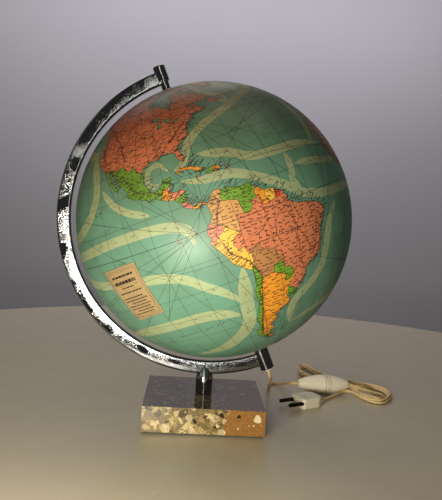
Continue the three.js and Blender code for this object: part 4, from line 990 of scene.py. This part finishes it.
def ink_land(ink, centres_of):
    """Rivers, mountain hatching, borders of states, and names on the land."""
    chance = ink.chance
    for i, border in enumerate(INNER_BORDERS):
        ink.line(wander(border, 400 + i, 0.03, 2.5, closed=False), 0.2)
    for i, river in enumerate(RIVERS):
        ink.line(wander(river, 500 + i, 0.16, 0.8, closed=False), 0.3)
    for i, ridge in enumerate(RANGES):
        for x, y in wander(ridge, 600 + i, 0.05, 0.7, closed=False):
            slope = chance.uniform(0.3, 2.8)
            length = chance.uniform(0.5, 1.1)
            dx, dy = length * math.cos(slope), length * math.sin(slope)
            ink.strokes((x, y), [(-dx, -dy, dx, dy), (-dx + 0.6, -dy, dx + 0.6, dy)], 0.3)
    spots = []
    for latitude in np.arange(-55, 74, 1.25):
        step = 2.9 / shrink(latitude)
        spots += [(x + chance.uniform(0, step * 0.4), latitude + chance.uniform(-0.3, 0.3))
                  for x in np.arange(-180, 179, step)]
    for spot, land in zip(spots, centres_of(spots)):
        if land and chance.random() < 0.9:
            ink.word(spot, letters=chance.randint(3, 7), width=0.46, turn=chance.uniform(-0.35, 0.35))


def ink_coast_names(ink):
    """Names of ports, which run out to sea from the coast they belong to."""
    chance = ink.chance
    for outline in LANDS.values():
        coast = wander(outline, 7, 0.1, 1.9)
        for (x, y), (ahead_x, ahead_y) in zip(coast, coast[1:]):
            if abs(y) > 72:
                continue
            seaward = math.atan2(-(ahead_x - x) * shrink(y), ahead_y - y)
            if math.cos(seaward) < 0:
                seaward += math.pi
            start = (x + 0.5 * math.cos(seaward) / shrink(y), y + 0.5 * math.sin(seaward))
            ink.word(start, 1.0, 0.72, chance.randint(7, 13), 0.38, seaward * 0.6 + chance.uniform(-0.2, 0.2))


def ink_names(ink):
    """Widely spaced names of countries and seas."""
    rows = [
        (-108, 41, 9, 3.2, 2.6, -0.05), (-112, 57, 8, 4.4, 2.8, -0.1), (-105, 25, 6, 2.6, 1.6, -0.6),
        (-62, -9, 6, 6.4, 3.6, -0.15), (-65, -40, 5, 3.4, 1.8, -1.2), (-67, 7, 6, 2.4, 1.4, 0),
        (-78, -9, 5, 2.6, 1.6, -1.0), (-149, 15, 11, 7.0, 2.2, 0.1), (-112, -38, 14, 6.0, 2.2, 0.1),
        (-58, 30, 12, 6.0, 2.2, 0.35), (-26, -26, 9, 7.0, 2.2, 1.1), (-4, 22, 8, 6.0, 2.8, 0),
        (16, 2, 6, 5.0, 2.4, 0), (60, 62, 12, 6.0, 3.0, 0), (90, 35, 7, 5.0, 2.6, 0.1),
        (60, -18, 12, 7.0, 2.2, 0.1), (122, -25, 9, 5.0, 2.6, 0), (155, 25, 12, 6.0, 2.2, -0.1),
        (-30, -70, 14, 5.0, 2.2, 0),
    ]
    for east, north, letters, pitch, height, turn in rows:
        ink.word((east, north), height, pitch, letters, 0.5, turn)
    for latitude in range(-60, 61, 12):
        for longitude in range(-180, 180, 18):
            spot = (longitude + ink.chance.uniform(0, 12), latitude + ink.chance.uniform(-4, 4))
            ink.word(spot, 0.9, 1.0, ink.chance.randint(5, 9), 0.22, ink.chance.uniform(-0.5, 0.5))


def ink_label(ink):
    """The paper label: a ruled frame, a heading of plain blocks and rows of fine dashes."""
    top_left, top_right, bottom_right, bottom_left = (np.array(p) for p in LABEL)

    def spot(across, down):
        top = top_left + (top_right - top_left) * across
        bottom = bottom_left + (bottom_right - bottom_left) * across
        return top + (bottom - top) * down

    for near in (0.04, 0.07):
        far = 1 - near
        ruled = [(near, near), (far, near), (far, far), (near, far), (near, near)]
        for (a, b), (c, d) in zip(ruled, ruled[1:]):
            ink.line([spot(a + (c - a) * t, b + (d - b) * t) for t in np.linspace(0, 1, 9)], 0.22)
    rows = [(0.15, 0.16, 0.84, 1.9), (0.26, 0.16, 0.84, 3.2), (0.36, 0.3, 0.7, 1.1), (0.45, 0.14, 0.86, 1.2)]
    rows += [(0.5 + 0.055 * i, 0.14 if i % 3 else 0.3, 0.86 - 0.07 * (i % 2), 1.1) for i in range(1, 8)]
    for down, start, end, height in rows:
        across = start
        while across < end:
            run = ink.chance.uniform(0.02, 0.06) * (1.6 if height > 1 else 1)
            ink.line([spot(across, down), spot(min(across + run, end), down)], height)
            across += run + 0.016


def aged_paper(finish, cloud, grain):
    """The printed paper's colour, yellowed in clouds, darkened towards the north as dust and as painted
    shade, and stained in one place.
    """
    color = finish.add("VertexColor", layer_name="paint").outputs["Color"]
    yellowed = finish.ramp(cloud, (0.35, 0.0), (0.8, 0.30))
    color = finish.mix(yellowed, color, srgb(150, 122, 70), "MULTIPLY")
    color = finish.mix(finish.ramp(grain, (0.3, 0.0), (0.8, 0.22)), color, srgb(120, 104, 78))
    # Towards the north the paper is multiplied darker and browner: partly dust, partly painted shade for the
    # less lit top of the ball.
    northward = finish.add("VectorMath", {0: finish.place, 1: tuple(AXIS)}, operation="DOT_PRODUCT")
    level = finish.math("SUBTRACT", northward.outputs["Value"], float(GLOBE_CENTRE @ AXIS))
    dust_and_shade = finish.ramp(finish.math("MULTIPLY_ADD", cloud, 0.02, level), (0.01, 0.0), (0.13, 0.75))
    color = finish.mix(dust_and_shade, color, srgb(190, 150, 90), "MULTIPLY")
    stain = tuple(on_ball([STAIN])[0])
    away = finish.add("VectorMath", {0: finish.place, 1: stain}, operation="DISTANCE")
    near = finish.ramp(away.outputs["Value"], (0.0012, 0.5), (0.0045, 0.0))
    return finish.mix(near, color, srgb(92, 66, 34))


def map_finish(name, inked):
    finish = Finish(name, roughness=0.45)
    grain = finish.noise(0.0005, 2)
    cloud = finish.noise(0.035, 4)
    if inked:
        color = finish.mix(cloud, srgb(24, 20, 16), srgb(48, 38, 28))
    else:
        color = aged_paper(finish, cloud, grain)
    finish.set(base_color=color, coat_weight=0.12, coat_roughness=0.3)
    finish.set(roughness=finish.ramp(cloud, (0.3, 0.48), (0.8, 0.6)))
    return finish.bump(grain, 0.00003, 0.25).material


def add_ball():
    shapes = map_outlines()
    corners, faces = triangulate([outline for *_, outline in shapes])
    centres = corners[faces].mean(axis=1)
    region, paint = paint_regions(centres, shapes)
    material = map_finish("map_paper", False)
    places = on_ball(corners)
    quarter = ((centres[:, 0] + 180) // 90).clip(0, 3) * 2 + (centres[:, 1] > 0)
    for number in range(8):
        own = np.flatnonzero(quarter == number)
        used, local = np.unique(faces[own], return_inverse=True)
        local = local.reshape(-1, 3)
        half = "north" if number % 2 else "south"
        piece = add_mesh(f"map_{half}_{number // 2 + 1}", places[used], local.tolist(), material)
        colors = piece.data.color_attributes.new("paint", "FLOAT_COLOR", "CORNER")
        values = np.repeat([PAINTS[p] for p in paint[own]], 3, axis=0)
        colors.data.foreach_set("color", values.ravel())
        outward = (places[used] - GLOBE_CENTRE) / GLOBE_RADIUS
        piece.data.normals_split_custom_set_from_vertices(outward.tolist())
        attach(piece, "globe")
        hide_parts(half + "_globe_shell")

    def land_at(spots):
        _, colors = paint_regions(np.array(spots), shapes)
        return [color not in ("sea", "current", "paper") for color in colors]

    ink = Ink()
    ink_borders(ink, corners, faces, region, paint)
    ink_graticule(ink)
    ink_sea(ink)
    ink_land(ink, land_at)
    ink_coast_names(ink)
    ink_names(ink)
    ink_label(ink)
    ink.piece("map_ink", map_finish("map_ink", True))
    print("map", len(faces), "faces, ink", len(ink.faces))


# ---- Arm: a rounded flat bar bent round the ball, in the plane of its axis ----
ARM_INNER = 158
ARM_OUTER = 173
ARM_THICKNESS = 8
ARM_ROUNDING = 2.4
ARM_ENDS = (90.9, 268.7)
ARM_STEPS = 200


def arm_section():
    """Corner by corner round the bar, as (radius, across) in millimetres."""
    section = []
    corners = [
        (ARM_OUTER, 1, 0), (ARM_OUTER, -1, 270), (ARM_INNER, -1, 180), (ARM_INNER, 1, 90),
    ]
    for radius, side, start in corners:
        middle = radius + (-ARM_ROUNDING if radius == ARM_OUTER else ARM_ROUNDING)
        level = side * (ARM_THICKNESS / 2 - ARM_ROUNDING)
        turns = [90 - 18 * i for i in range(6)]
        for turn in turns:
            angle = math.radians(start + turn)
            section.append((middle + ARM_ROUNDING * math.cos(angle), level + ARM_ROUNDING * math.sin(angle)))
    return section


def add_arm(material):
    section = arm_section()
    points = []
    for angle in np.radians(np.linspace(*ARM_ENDS, ARM_STEPS)):
        out = math.cos(angle) * EAST + math.sin(angle) * AXIS
        points += [GLOBE_CENTRE + out * radius * MM + FRONT * across * MM for radius, across in section]
    count = len(section)
    faces = grid_faces(ARM_STEPS, count)
    faces.append(tuple(range(count)))
    faces.append(tuple(reversed(range((ARM_STEPS - 1) * count, ARM_STEPS * count))))
    arm = add_mesh("arm_bar", points, faces, material)
    ends = arm.modifiers.new("ends", "BEVEL")
    ends.width = 0.5 * MM
    ends.segments = 3
    ends.limit_method = "ANGLE"
    ends.angle_limit = math.radians(50)
    ends.harden_normals = True
    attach(arm, "stand")
    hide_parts("meridian_arm")


# ---- Post and stone block ----
POST_OUTLINE = [
    (3.5, 29.3), (9.2, 29.3), (9.5, 29.6), (9.5, 30), (9.5, 48.5), (9.5, 48.8), (9.4, 49.1), (9.25, 49.4),
    (4.9, 58.1), (4.75, 58.4), (4.6, 58.7), (4.2, 59), (3.5, 59),
]
SLOT_GAP = 0.3
SLOT_DEPTH = 10
SLOT_ENDS = (236, 257)
SLOT_STEPS = 40
BLOCK_BOX = ((-65, -57.5, 1.8), (65, 57.5, 29))
BLOCK_RECESS = [(0.01, 0), (15, 0), (15, 14), (4, 14), (4, 30), (0.01, 30)]


def turned(outline, sides=96):
    """Points and faces of a closed outline of (radius, height) turned about the post's axis."""
    points = [
        (radius * math.cos(angle) * MM, radius * math.sin(angle) * MM, height * MM)
        for radius, height in outline
        for angle in np.linspace(0, 2 * math.pi, sides, endpoint=False)
    ]
    return points, grid_faces(len(outline), sides) + [
        ((len(outline) - 1) * sides + c, (len(outline) - 1) * sides + (c + 1) % sides, (c + 1) % sides, c)
        for c in range(sides)
    ]


def carve(piece, points, faces):
    """Cuts the closed shape away from the piece."""
    cutter = add_mesh("cutter", points, faces)
    cut = piece.modifiers.new("cut", "BOOLEAN")
    cut.object = cutter
    cut.solver = "EXACT"
    done = piece.evaluated_get(bpy.context.evaluated_depsgraph_get())
    mesh = bpy.data.meshes.new_from_object(done)
    piece.modifiers.clear()
    piece.data = mesh
    bpy.data.objects.remove(cutter)


def soften(piece, width, angle=30):
    edge = piece.modifiers.new("edge", "BEVEL")
    edge.width = width * MM
    edge.segments = 3
    edge.limit_method = "ANGLE"
    edge.angle_limit = math.radians(angle)
    edge.harden_normals = True


def add_post(material):
    post = add_mesh("post_turned", *turned(POST_OUTLINE), material)
    half = ARM_THICKNESS / 2 + SLOT_GAP
    top = ARM_INNER - SLOT_DEPTH
    bottom = ARM_OUTER + SLOT_GAP
    section = [(top, -half), (bottom, -half), (bottom, half), (top, half)]
    slot = []
    for angle in np.radians(np.linspace(*SLOT_ENDS, SLOT_STEPS)):
        out = math.cos(angle) * EAST + math.sin(angle) * AXIS
        slot += [GLOBE_CENTRE + out * radius * MM - FRONT * across * MM for radius, across in section]
    last = len(slot) - len(section)
    ends = [(3, 2, 1, 0), (last, last + 1, last + 2, last + 3)]
    carve(post, slot, grid_faces(SLOT_STEPS, len(section)) + ends)
    soften(post, 0.25)
    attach(post, "stand")
    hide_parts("post")


def add_block(material):
    (x0, y0, z0), (x1, y1, z1) = BLOCK_BOX
    points = [(x * MM, y * MM, z * MM) for z in (z0, z1) for x, y in ((x0, y0), (x1, y0), (x1, y1), (x0, y1))]
    faces = [(3, 2, 1, 0), (4, 5, 6, 7), (0, 1, 5, 4), (1, 2, 6, 5), (2, 3, 7, 6), (3, 0, 4, 7)]
    block = add_mesh("stone_block", points, faces, material)
    carve(block, *turned(BLOCK_RECESS, 48))
    soften(block, 0.9)
    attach(block, "stand")
    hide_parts("stone_base")


# ---- Finishes of the CAD pieces ----
SWITCH_YAW = math.radians(8)
SWITCH_AXIS = (math.cos(SWITCH_YAW), math.sin(SWITCH_YAW), 0.0)
SWITCH_CENTRE = (162.7, 115)
RINGS_PAST_CENTRE = 4.3
SWITCH_RINGS_AT = (
    SWITCH_CENTRE[0] * SWITCH_AXIS[0] + SWITCH_CENTRE[1] * SWITCH_AXIS[1] + RINGS_PAST_CENTRE
) * MM
RING_SPACING = 3.3 * MM


def dress(material, bevel, *names):
    """Gives CAD nodes their material, rounds their hard edges a little and smooths the rest."""
    for name in names:
        node = NODES[name]
        node.data.materials.clear()
        node.data.materials.append(material)
        node.data.polygons.foreach_set("use_smooth", [True] * len(node.data.polygons))
        normals = node.data.attributes.get("custom_normal")
        if normals:
            node.data.attributes.remove(normals)
        weld = node.modifiers.new("weld", "WELD")
        weld.merge_threshold = 0.002 * MM
        edge = node.modifiers.new("edge", "BEVEL")
        edge.width = bevel * MM
        edge.segments = 3
        edge.limit_method = "ANGLE"
        edge.angle_limit = math.radians(32)
        edge.harden_normals = True


def chrome_finish(name, pitted):
    """Bright but smeared plating, scratched and pitted in patches and most of all on the left flank."""
    finish = Finish(name, roughness=0.1, metallic=1.0)
    smear = finish.noise(0.018, 4)
    patch = finish.noise(0.028, 4)
    across = finish.add("SeparateXYZ", {0: finish.place}).outputs["X"]
    flank = finish.math("MAXIMUM", finish.math("MULTIPLY_ADD", across, -50.0, -6.9, clamp=True), 0.25)
    worn = finish.math("MULTIPLY", finish.ramp(patch, (0.4, 0.0), (0.54, pitted)), flank)
    pits = finish.ramp(finish.cells(0.0013), (0.10, 1.0), (0.22, 0.0))
    scuffs = finish.ramp(finish.noise(0.0016, 5), (0.38, 0.0), (0.66, 1.0))
    stained = finish.ramp(finish.noise(0.007, 5), (0.5, 0.0), (0.62, 0.7))
    rust = finish.math("MULTIPLY", finish.math("MAXIMUM", pits, stained), worn)
    base = finish.mix(smear, srgb(168, 172, 178), srgb(136, 140, 146))
    finish.set(base_color=finish.mix(rust, base, srgb(60, 44, 32)))
    dull = finish.math("MULTIPLY_ADD", finish.math("MULTIPLY", scuffs, worn), 0.12,
                       finish.ramp(smear, (0.3, 0.02), (0.8, 0.05)))
    finish.set(roughness=dull)
    relief = finish.math("SUBTRACT", finish.math("MULTIPLY", scuffs, 1.4), pits)
    return finish.bump(finish.math("MULTIPLY", relief, worn), 0.0002, 0.9).material


def metal_finish(name, light, dark, roughness):
    finish = Finish(name, roughness=roughness, metallic=1.0)
    cloud = finish.noise(0.006, 5)
    fine = finish.noise(0.0006, 3)
    finish.set(base_color=finish.mix(finish.ramp(cloud, (0.35, 0.0), (0.7, 1.0)), light, dark))
    finish.set(roughness=finish.ramp(cloud, (0.3, roughness * 0.8), (0.75, roughness * 1.35)))
    return finish.bump(fine, 0.00004, 0.4).material


def switch_rings(finish):
    """1 on the switch's skin, and 0 in the three fine rings round its middle."""
    along = finish.add("VectorMath", {0: finish.place, 1: SWITCH_AXIS}, operation="DOT_PRODUCT")
    along = finish.math("SUBTRACT", along.outputs["Value"], SWITCH_RINGS_AT)
    near = finish.math("PINGPONG", finish.math("DIVIDE", along, RING_SPACING), 0.5)
    beside = finish.math("COMPARE", along, 0.0, RING_SPACING * 1.4)
    ring = finish.math("MULTIPLY", finish.ramp(near, (0.04, 1.0), (0.15, 0.0)), beside)
    return finish.math("SUBTRACT", 1.0, ring)


def plastic_finish(name, light, dark, roughness=0.32, relief=None):
    finish = Finish(name, roughness=roughness)
    cloud = finish.noise(0.012, 4)
    grime = finish.noise(0.0016, 6)
    color = finish.mix(cloud, light, dark)
    color = finish.mix(finish.ramp(grime, (0.58, 0.0), (0.78, 0.35)), color, srgb(120, 98, 66))
    if relief:
        height = relief(finish)
        color = finish.mix(finish.ramp(height, (0.0, 0.45), (1.0, 0.0)), color, srgb(120, 98, 66))
        finish.bump(height, 0.0006)
    finish.set(base_color=color, subsurface_weight=0.12, subsurface_radius=(0.003, 0.0022, 0.0014))
    finish.set(roughness=finish.ramp(grime, (0.3, roughness), (0.8, roughness + 0.2)))
    return finish.material if relief else finish.bump(finish.noise(0.0009, 3), 0.00005, 0.3).material


def stone_finish():
    """Polished terrazzo: grey-beige chips with fine black specks, and tan with loose pebbles at one end; its
    top is painted darker as painted shade.
    """
    finish = Finish("terrazzo", roughness=0.12)
    warp = finish.add("TexNoise", {"Vector": finish.place, "Scale": 150.0, "Detail": 3.0}).outputs["Color"]
    bent = finish.add("VectorMath", {0: warp, "Scale": 0.005}, operation="SCALE").outputs[0]
    place = finish.add("VectorMath", {0: finish.place, 1: bent}, operation="ADD").outputs[0]
    across = finish.add("SeparateXYZ", {0: finish.place}).outputs["X"]
    across = finish.math("ADD", across, finish.math("MULTIPLY", finish.noise(0.02), 0.02))
    tan_end = finish.ramp(across, (0.031, 0.0), (0.034, 1.0))

    ground = finish.mix(finish.noise(0.003, 6), srgb(92, 84, 68), srgb(168, 156, 124))
    tan = finish.mix(finish.noise(0.002, 6), srgb(112, 82, 48), srgb(186, 142, 88))
    mosaic = [
        (0.011, ((0.0, srgb(196, 184, 150)), (0.3, srgb(134, 124, 98)), (0.55, srgb(222, 212, 182)),
                 (0.8, srgb(112, 102, 84)))),
        (0.0055, ((0.0, srgb(176, 164, 130)), (0.3, srgb(226, 218, 192)), (0.5, srgb(98, 88, 72)),
                  (0.7, srgb(150, 138, 108)), (0.9, srgb(40, 36, 34)))),
    ]
    color = ground
    for size, stops in mosaic:
        cell = finish.add("SeparateXYZ", {0: finish.cells(size, "Color", place=place)})
        edge = finish.cells(size, feature="DISTANCE_TO_EDGE", place=place)
        body = finish.math("MULTIPLY", finish.ramp(edge, (0.03, 0.0), (0.07, 1.0)),
                           finish.ramp(cell.outputs["Y"], (0.42, 0.0), (0.46, 1.0)))
        chip = finish.ramp(cell.outputs["X"], *stops, step="CONSTANT")
        mottle = finish.mix(finish.noise(0.0016, 6), srgb(70, 64, 54), srgb(226, 216, 190))
        tone = finish.mix(0.5, chip, mottle, "SOFT_LIGHT")
        color = finish.mix(body, color, tone)
    specks = finish.ramp(finish.cells(0.0017, place=place), (0.22, 0.9), (0.34, 0.0))
    specks = finish.math("MULTIPLY", specks, finish.ramp(finish.noise(0.014, 2), (0.36, 0.0), (0.44, 1.0)))
    color = finish.mix(specks, color, srgb(44, 38, 34))
    grit = finish.ramp(finish.cells(0.0016), (0.14, 0.8), (0.24, 0.0))
    tan = finish.mix(grit, tan, srgb(70, 50, 32))
    color = finish.mix(tan_end, color, tan)
    pebbles = [
        (0.0135, 0.30, srgb(232, 226, 210)),
        (0.0085, 0.2, srgb(42, 36, 34)),
        (0.006, 0.16, srgb(238, 224, 190)),
    ]
    for size, reach, shade in pebbles:
        stone = finish.ramp(finish.cells(size, place=place), (reach, 1.0), (reach + 0.04, 0.0))
        kept = finish.add("SeparateXYZ", {0: finish.cells(size, "Color", place=place)}).outputs["Z"]
        stone = finish.math("MULTIPLY", stone, finish.ramp(kept, (0.4, 0.0), (0.42, 1.0)))
        color = finish.mix(finish.math("MULTIPLY", stone, finish.math("MAXIMUM", tan_end, 0.5)), color, shade)
    # The upward-facing top is painted darker: a painted shade that stands in for the dark reflections on the
    # polished top.
    upward = finish.add("SeparateXYZ", {0: finish.add("TexCoord").outputs["Normal"]}).outputs["Z"]
    color = finish.mix(finish.ramp(upward, (0.7, 0.0), (0.95, 0.72)), color, srgb(88, 80, 74))
    color = finish.mix(1.0, color, srgb(236, 224, 196), "MULTIPLY")
    finish.set(base_color=color, roughness=finish.ramp(finish.noise(0.004, 5), (0.3, 0.05), (0.75, 0.1)))
    return finish.bump(finish.noise(0.0012, 4), 0.00002, 0.25).material


def felt_finish():
    finish = Finish("felt", roughness=0.95)
    fibre = finish.noise(0.0005, 8)
    finish.set(base_color=finish.mix(fibre, srgb(26, 36, 30), srgb(62, 78, 66)))
    finish.shader.inputs["Sheen Weight"].default_value = 0.4
    return finish.bump(fibre, 0.0004, 0.8).material


def add_cad_finishes():
    plain_chrome = chrome_finish("chrome_fittings", 0.35)
    dress(plain_chrome, 0.35, "upper_ferrule", "upper_ferrule_cap", "lower_ferrule")
    add_post(plain_chrome)
    add_block(stone_finish())
    steel = metal_finish("steel", srgb(164, 166, 168), srgb(116, 114, 110), 0.32)
    dress(steel, 0.15, "base_washer", "base_nut", "tie_rod", "top_pivot_pin", "pivot_spring",
          "bearing_washer", "tube_nut", "lower_pivot_tube", "plug_screw")
    brass = metal_finish("brass", srgb(214, 184, 118), srgb(150, 116, 62), 0.34)
    dress(brass, 0.25, "south_pole_bush", "holder_contact", "lamp_cap")
    dress(plastic_finish("pole_bush", srgb(244, 228, 184), srgb(222, 196, 140), 0.3), 0.25, "north_pole_bush")
    tarnish = metal_finish("pin_tarnish", srgb(74, 60, 46), srgb(34, 27, 22), 0.4)
    dress(tarnish, 0.7, "plug_pin_near", "plug_pin_far")
    dress(felt_finish(), 0.3, "felt_pad")
    ringed = plastic_finish("ivory_switch", srgb(250, 243, 226), srgb(240, 230, 206), 0.28, switch_rings)
    dress(ringed, 0.5, "switch_left_half", "switch_right_half")
    ivory = plastic_finish("ivory_plastic", srgb(250, 242, 222), srgb(238, 227, 200))
    dress(ivory, 0.5, "switch_push_bar", "cord_grommet")
    dress(plastic_finish("plug_plastic", srgb(234, 228, 208), srgb(222, 212, 184), 0.38), 0.9,
          "plug_lower_half", "plug_upper_half")
    dark = plastic_finish("phenolic", srgb(58, 44, 36), srgb(34, 26, 22), 0.4)
    dress(dark, 0.2, "switch_insert", "lamp_holder_base", "lamp_holder_sleeve", "holder_ring")
    dress(plastic_finish("inner_board", srgb(196, 180, 146), srgb(168, 150, 116), 0.8), 0.2, "equator_ring")
    dress(plastic_finish("lead_sheath", srgb(208, 180, 132), srgb(180, 150, 104), 0.45), 0.1, "inner_lead")
    dress(plastic_finish("opal_glass", srgb(240, 238, 230), srgb(226, 222, 208), 0.2), 0.1, "lamp_bulb")


# ---- Studio: a round pale table, a plain backdrop and soft lights ----
TABLE_CENTRE = (0.067, 0.018)
TABLE_RADIUS = 0.737
TABLE_FRONT = -0.199
TABLE_FRONT_SLOPE = math.tan(math.radians(5))
BACKDROP_Y = 2.2


def add_table():
    steps = 160
    rim = []
    for angle in np.linspace(0, 2 * math.pi, steps, endpoint=False):
        x = TABLE_CENTRE[0] + TABLE_RADIUS * math.cos(angle)
        y = TABLE_CENTRE[1] + TABLE_RADIUS * math.sin(angle)
        rim.append((x, max(y, TABLE_FRONT + TABLE_FRONT_SLOPE * x)))
    points = [(x, y, -0.0004) for x, y in rim] + [(x, y, -0.03) for x, y in rim]
    faces = [tuple(range(steps))] + [
        (i, i + steps, (i + 1) % steps + steps, (i + 1) % steps) for i in range(steps)
    ]
    finish = Finish("table_top", roughness=0.26)
    fleck = finish.ramp(finish.noise(0.004, 6), (0.66, 0.0), (0.72, 0.35))
    base = finish.mix(finish.noise(0.05, 3), srgb(199, 187, 164), srgb(189, 177, 154))
    finish.set(base_color=finish.mix(fleck, base, srgb(120, 106, 84)))
    add_mesh("table_top", points, faces, finish.material, smooth=False)


def add_backdrop():
    finish = Finish("backdrop", roughness=0.9)
    finish.set(base_color=finish.mix(finish.noise(0.6, 2), srgb(206, 203, 206), srgb(196, 193, 198)))
    corners = ((-2.6, -1.2), (2.6, -1.2), (2.6, 2.4), (-2.6, 2.4))
    points = [(x, BACKDROP_Y, z) for x, z in corners]
    add_mesh("backdrop", points, [(0, 1, 2, 3)], finish.material, smooth=False)


def add_softbox(name, at, toward, size, power, color):
    data = bpy.data.lights.new(name, "AREA")
    data.shape = "RECTANGLE"
    data.size, data.size_y = size
    data.energy = power
    data.color = color
    lamp = bpy.data.objects.new(name, data)
    lamp.location = at
    lamp.rotation_euler = (Vector(toward) - Vector(at)).to_track_quat("-Z", "Y").to_euler()
    bpy.context.scene.collection.objects.link(lamp)


def add_lights():
    middle = (0, 0, 0.2)
    add_softbox("key", (-0.13, -0.48, 0.09), middle, (0.16, 0.1), 2.5, (1.0, 0.92, 0.76))
    add_softbox("tall_strip", (-0.035, -0.95, 0.5), (0, 0, 0.5), (0.04, 1.1), 1.4, (1.0, 0.94, 0.82))
    add_softbox("fill_left", (-1.2, -0.5, 0.9), middle, (0.5, 0.8), 0.8, (1.0, 0.95, 0.85))
    add_softbox("fill_top", (0.1, 0.2, 1.6), middle, (1.0, 0.7), 2.4, (1.0, 0.92, 0.78))
    add_softbox("fill_back", (-0.3, 1.0, 1.3), middle, (1.0, 0.5), 3.0, (1.0, 0.94, 0.84))
    wall = (0.1, BACKDROP_Y, 0.6)
    add_softbox("backdrop_wash", (0.1, 1.3, 1.5), wall, (2.6, 0.4), 17, (0.94, 0.93, 1.0))
    world = bpy.data.worlds.new("room")
    world.use_nodes = True
    world.node_tree.nodes["Background"].inputs["Color"].default_value = (0.9, 0.85, 0.76, 1)
    world.node_tree.nodes["Background"].inputs["Strength"].default_value = 0.05
    bpy.context.scene.world = world
    bpy.context.scene.view_settings.view_transform = "Standard"


add_camera()
add_flex()
add_ball()
add_arm(chrome_finish("chrome_arm", 1.0))
add_cad_finishes()
add_table()
add_backdrop()
add_lights()
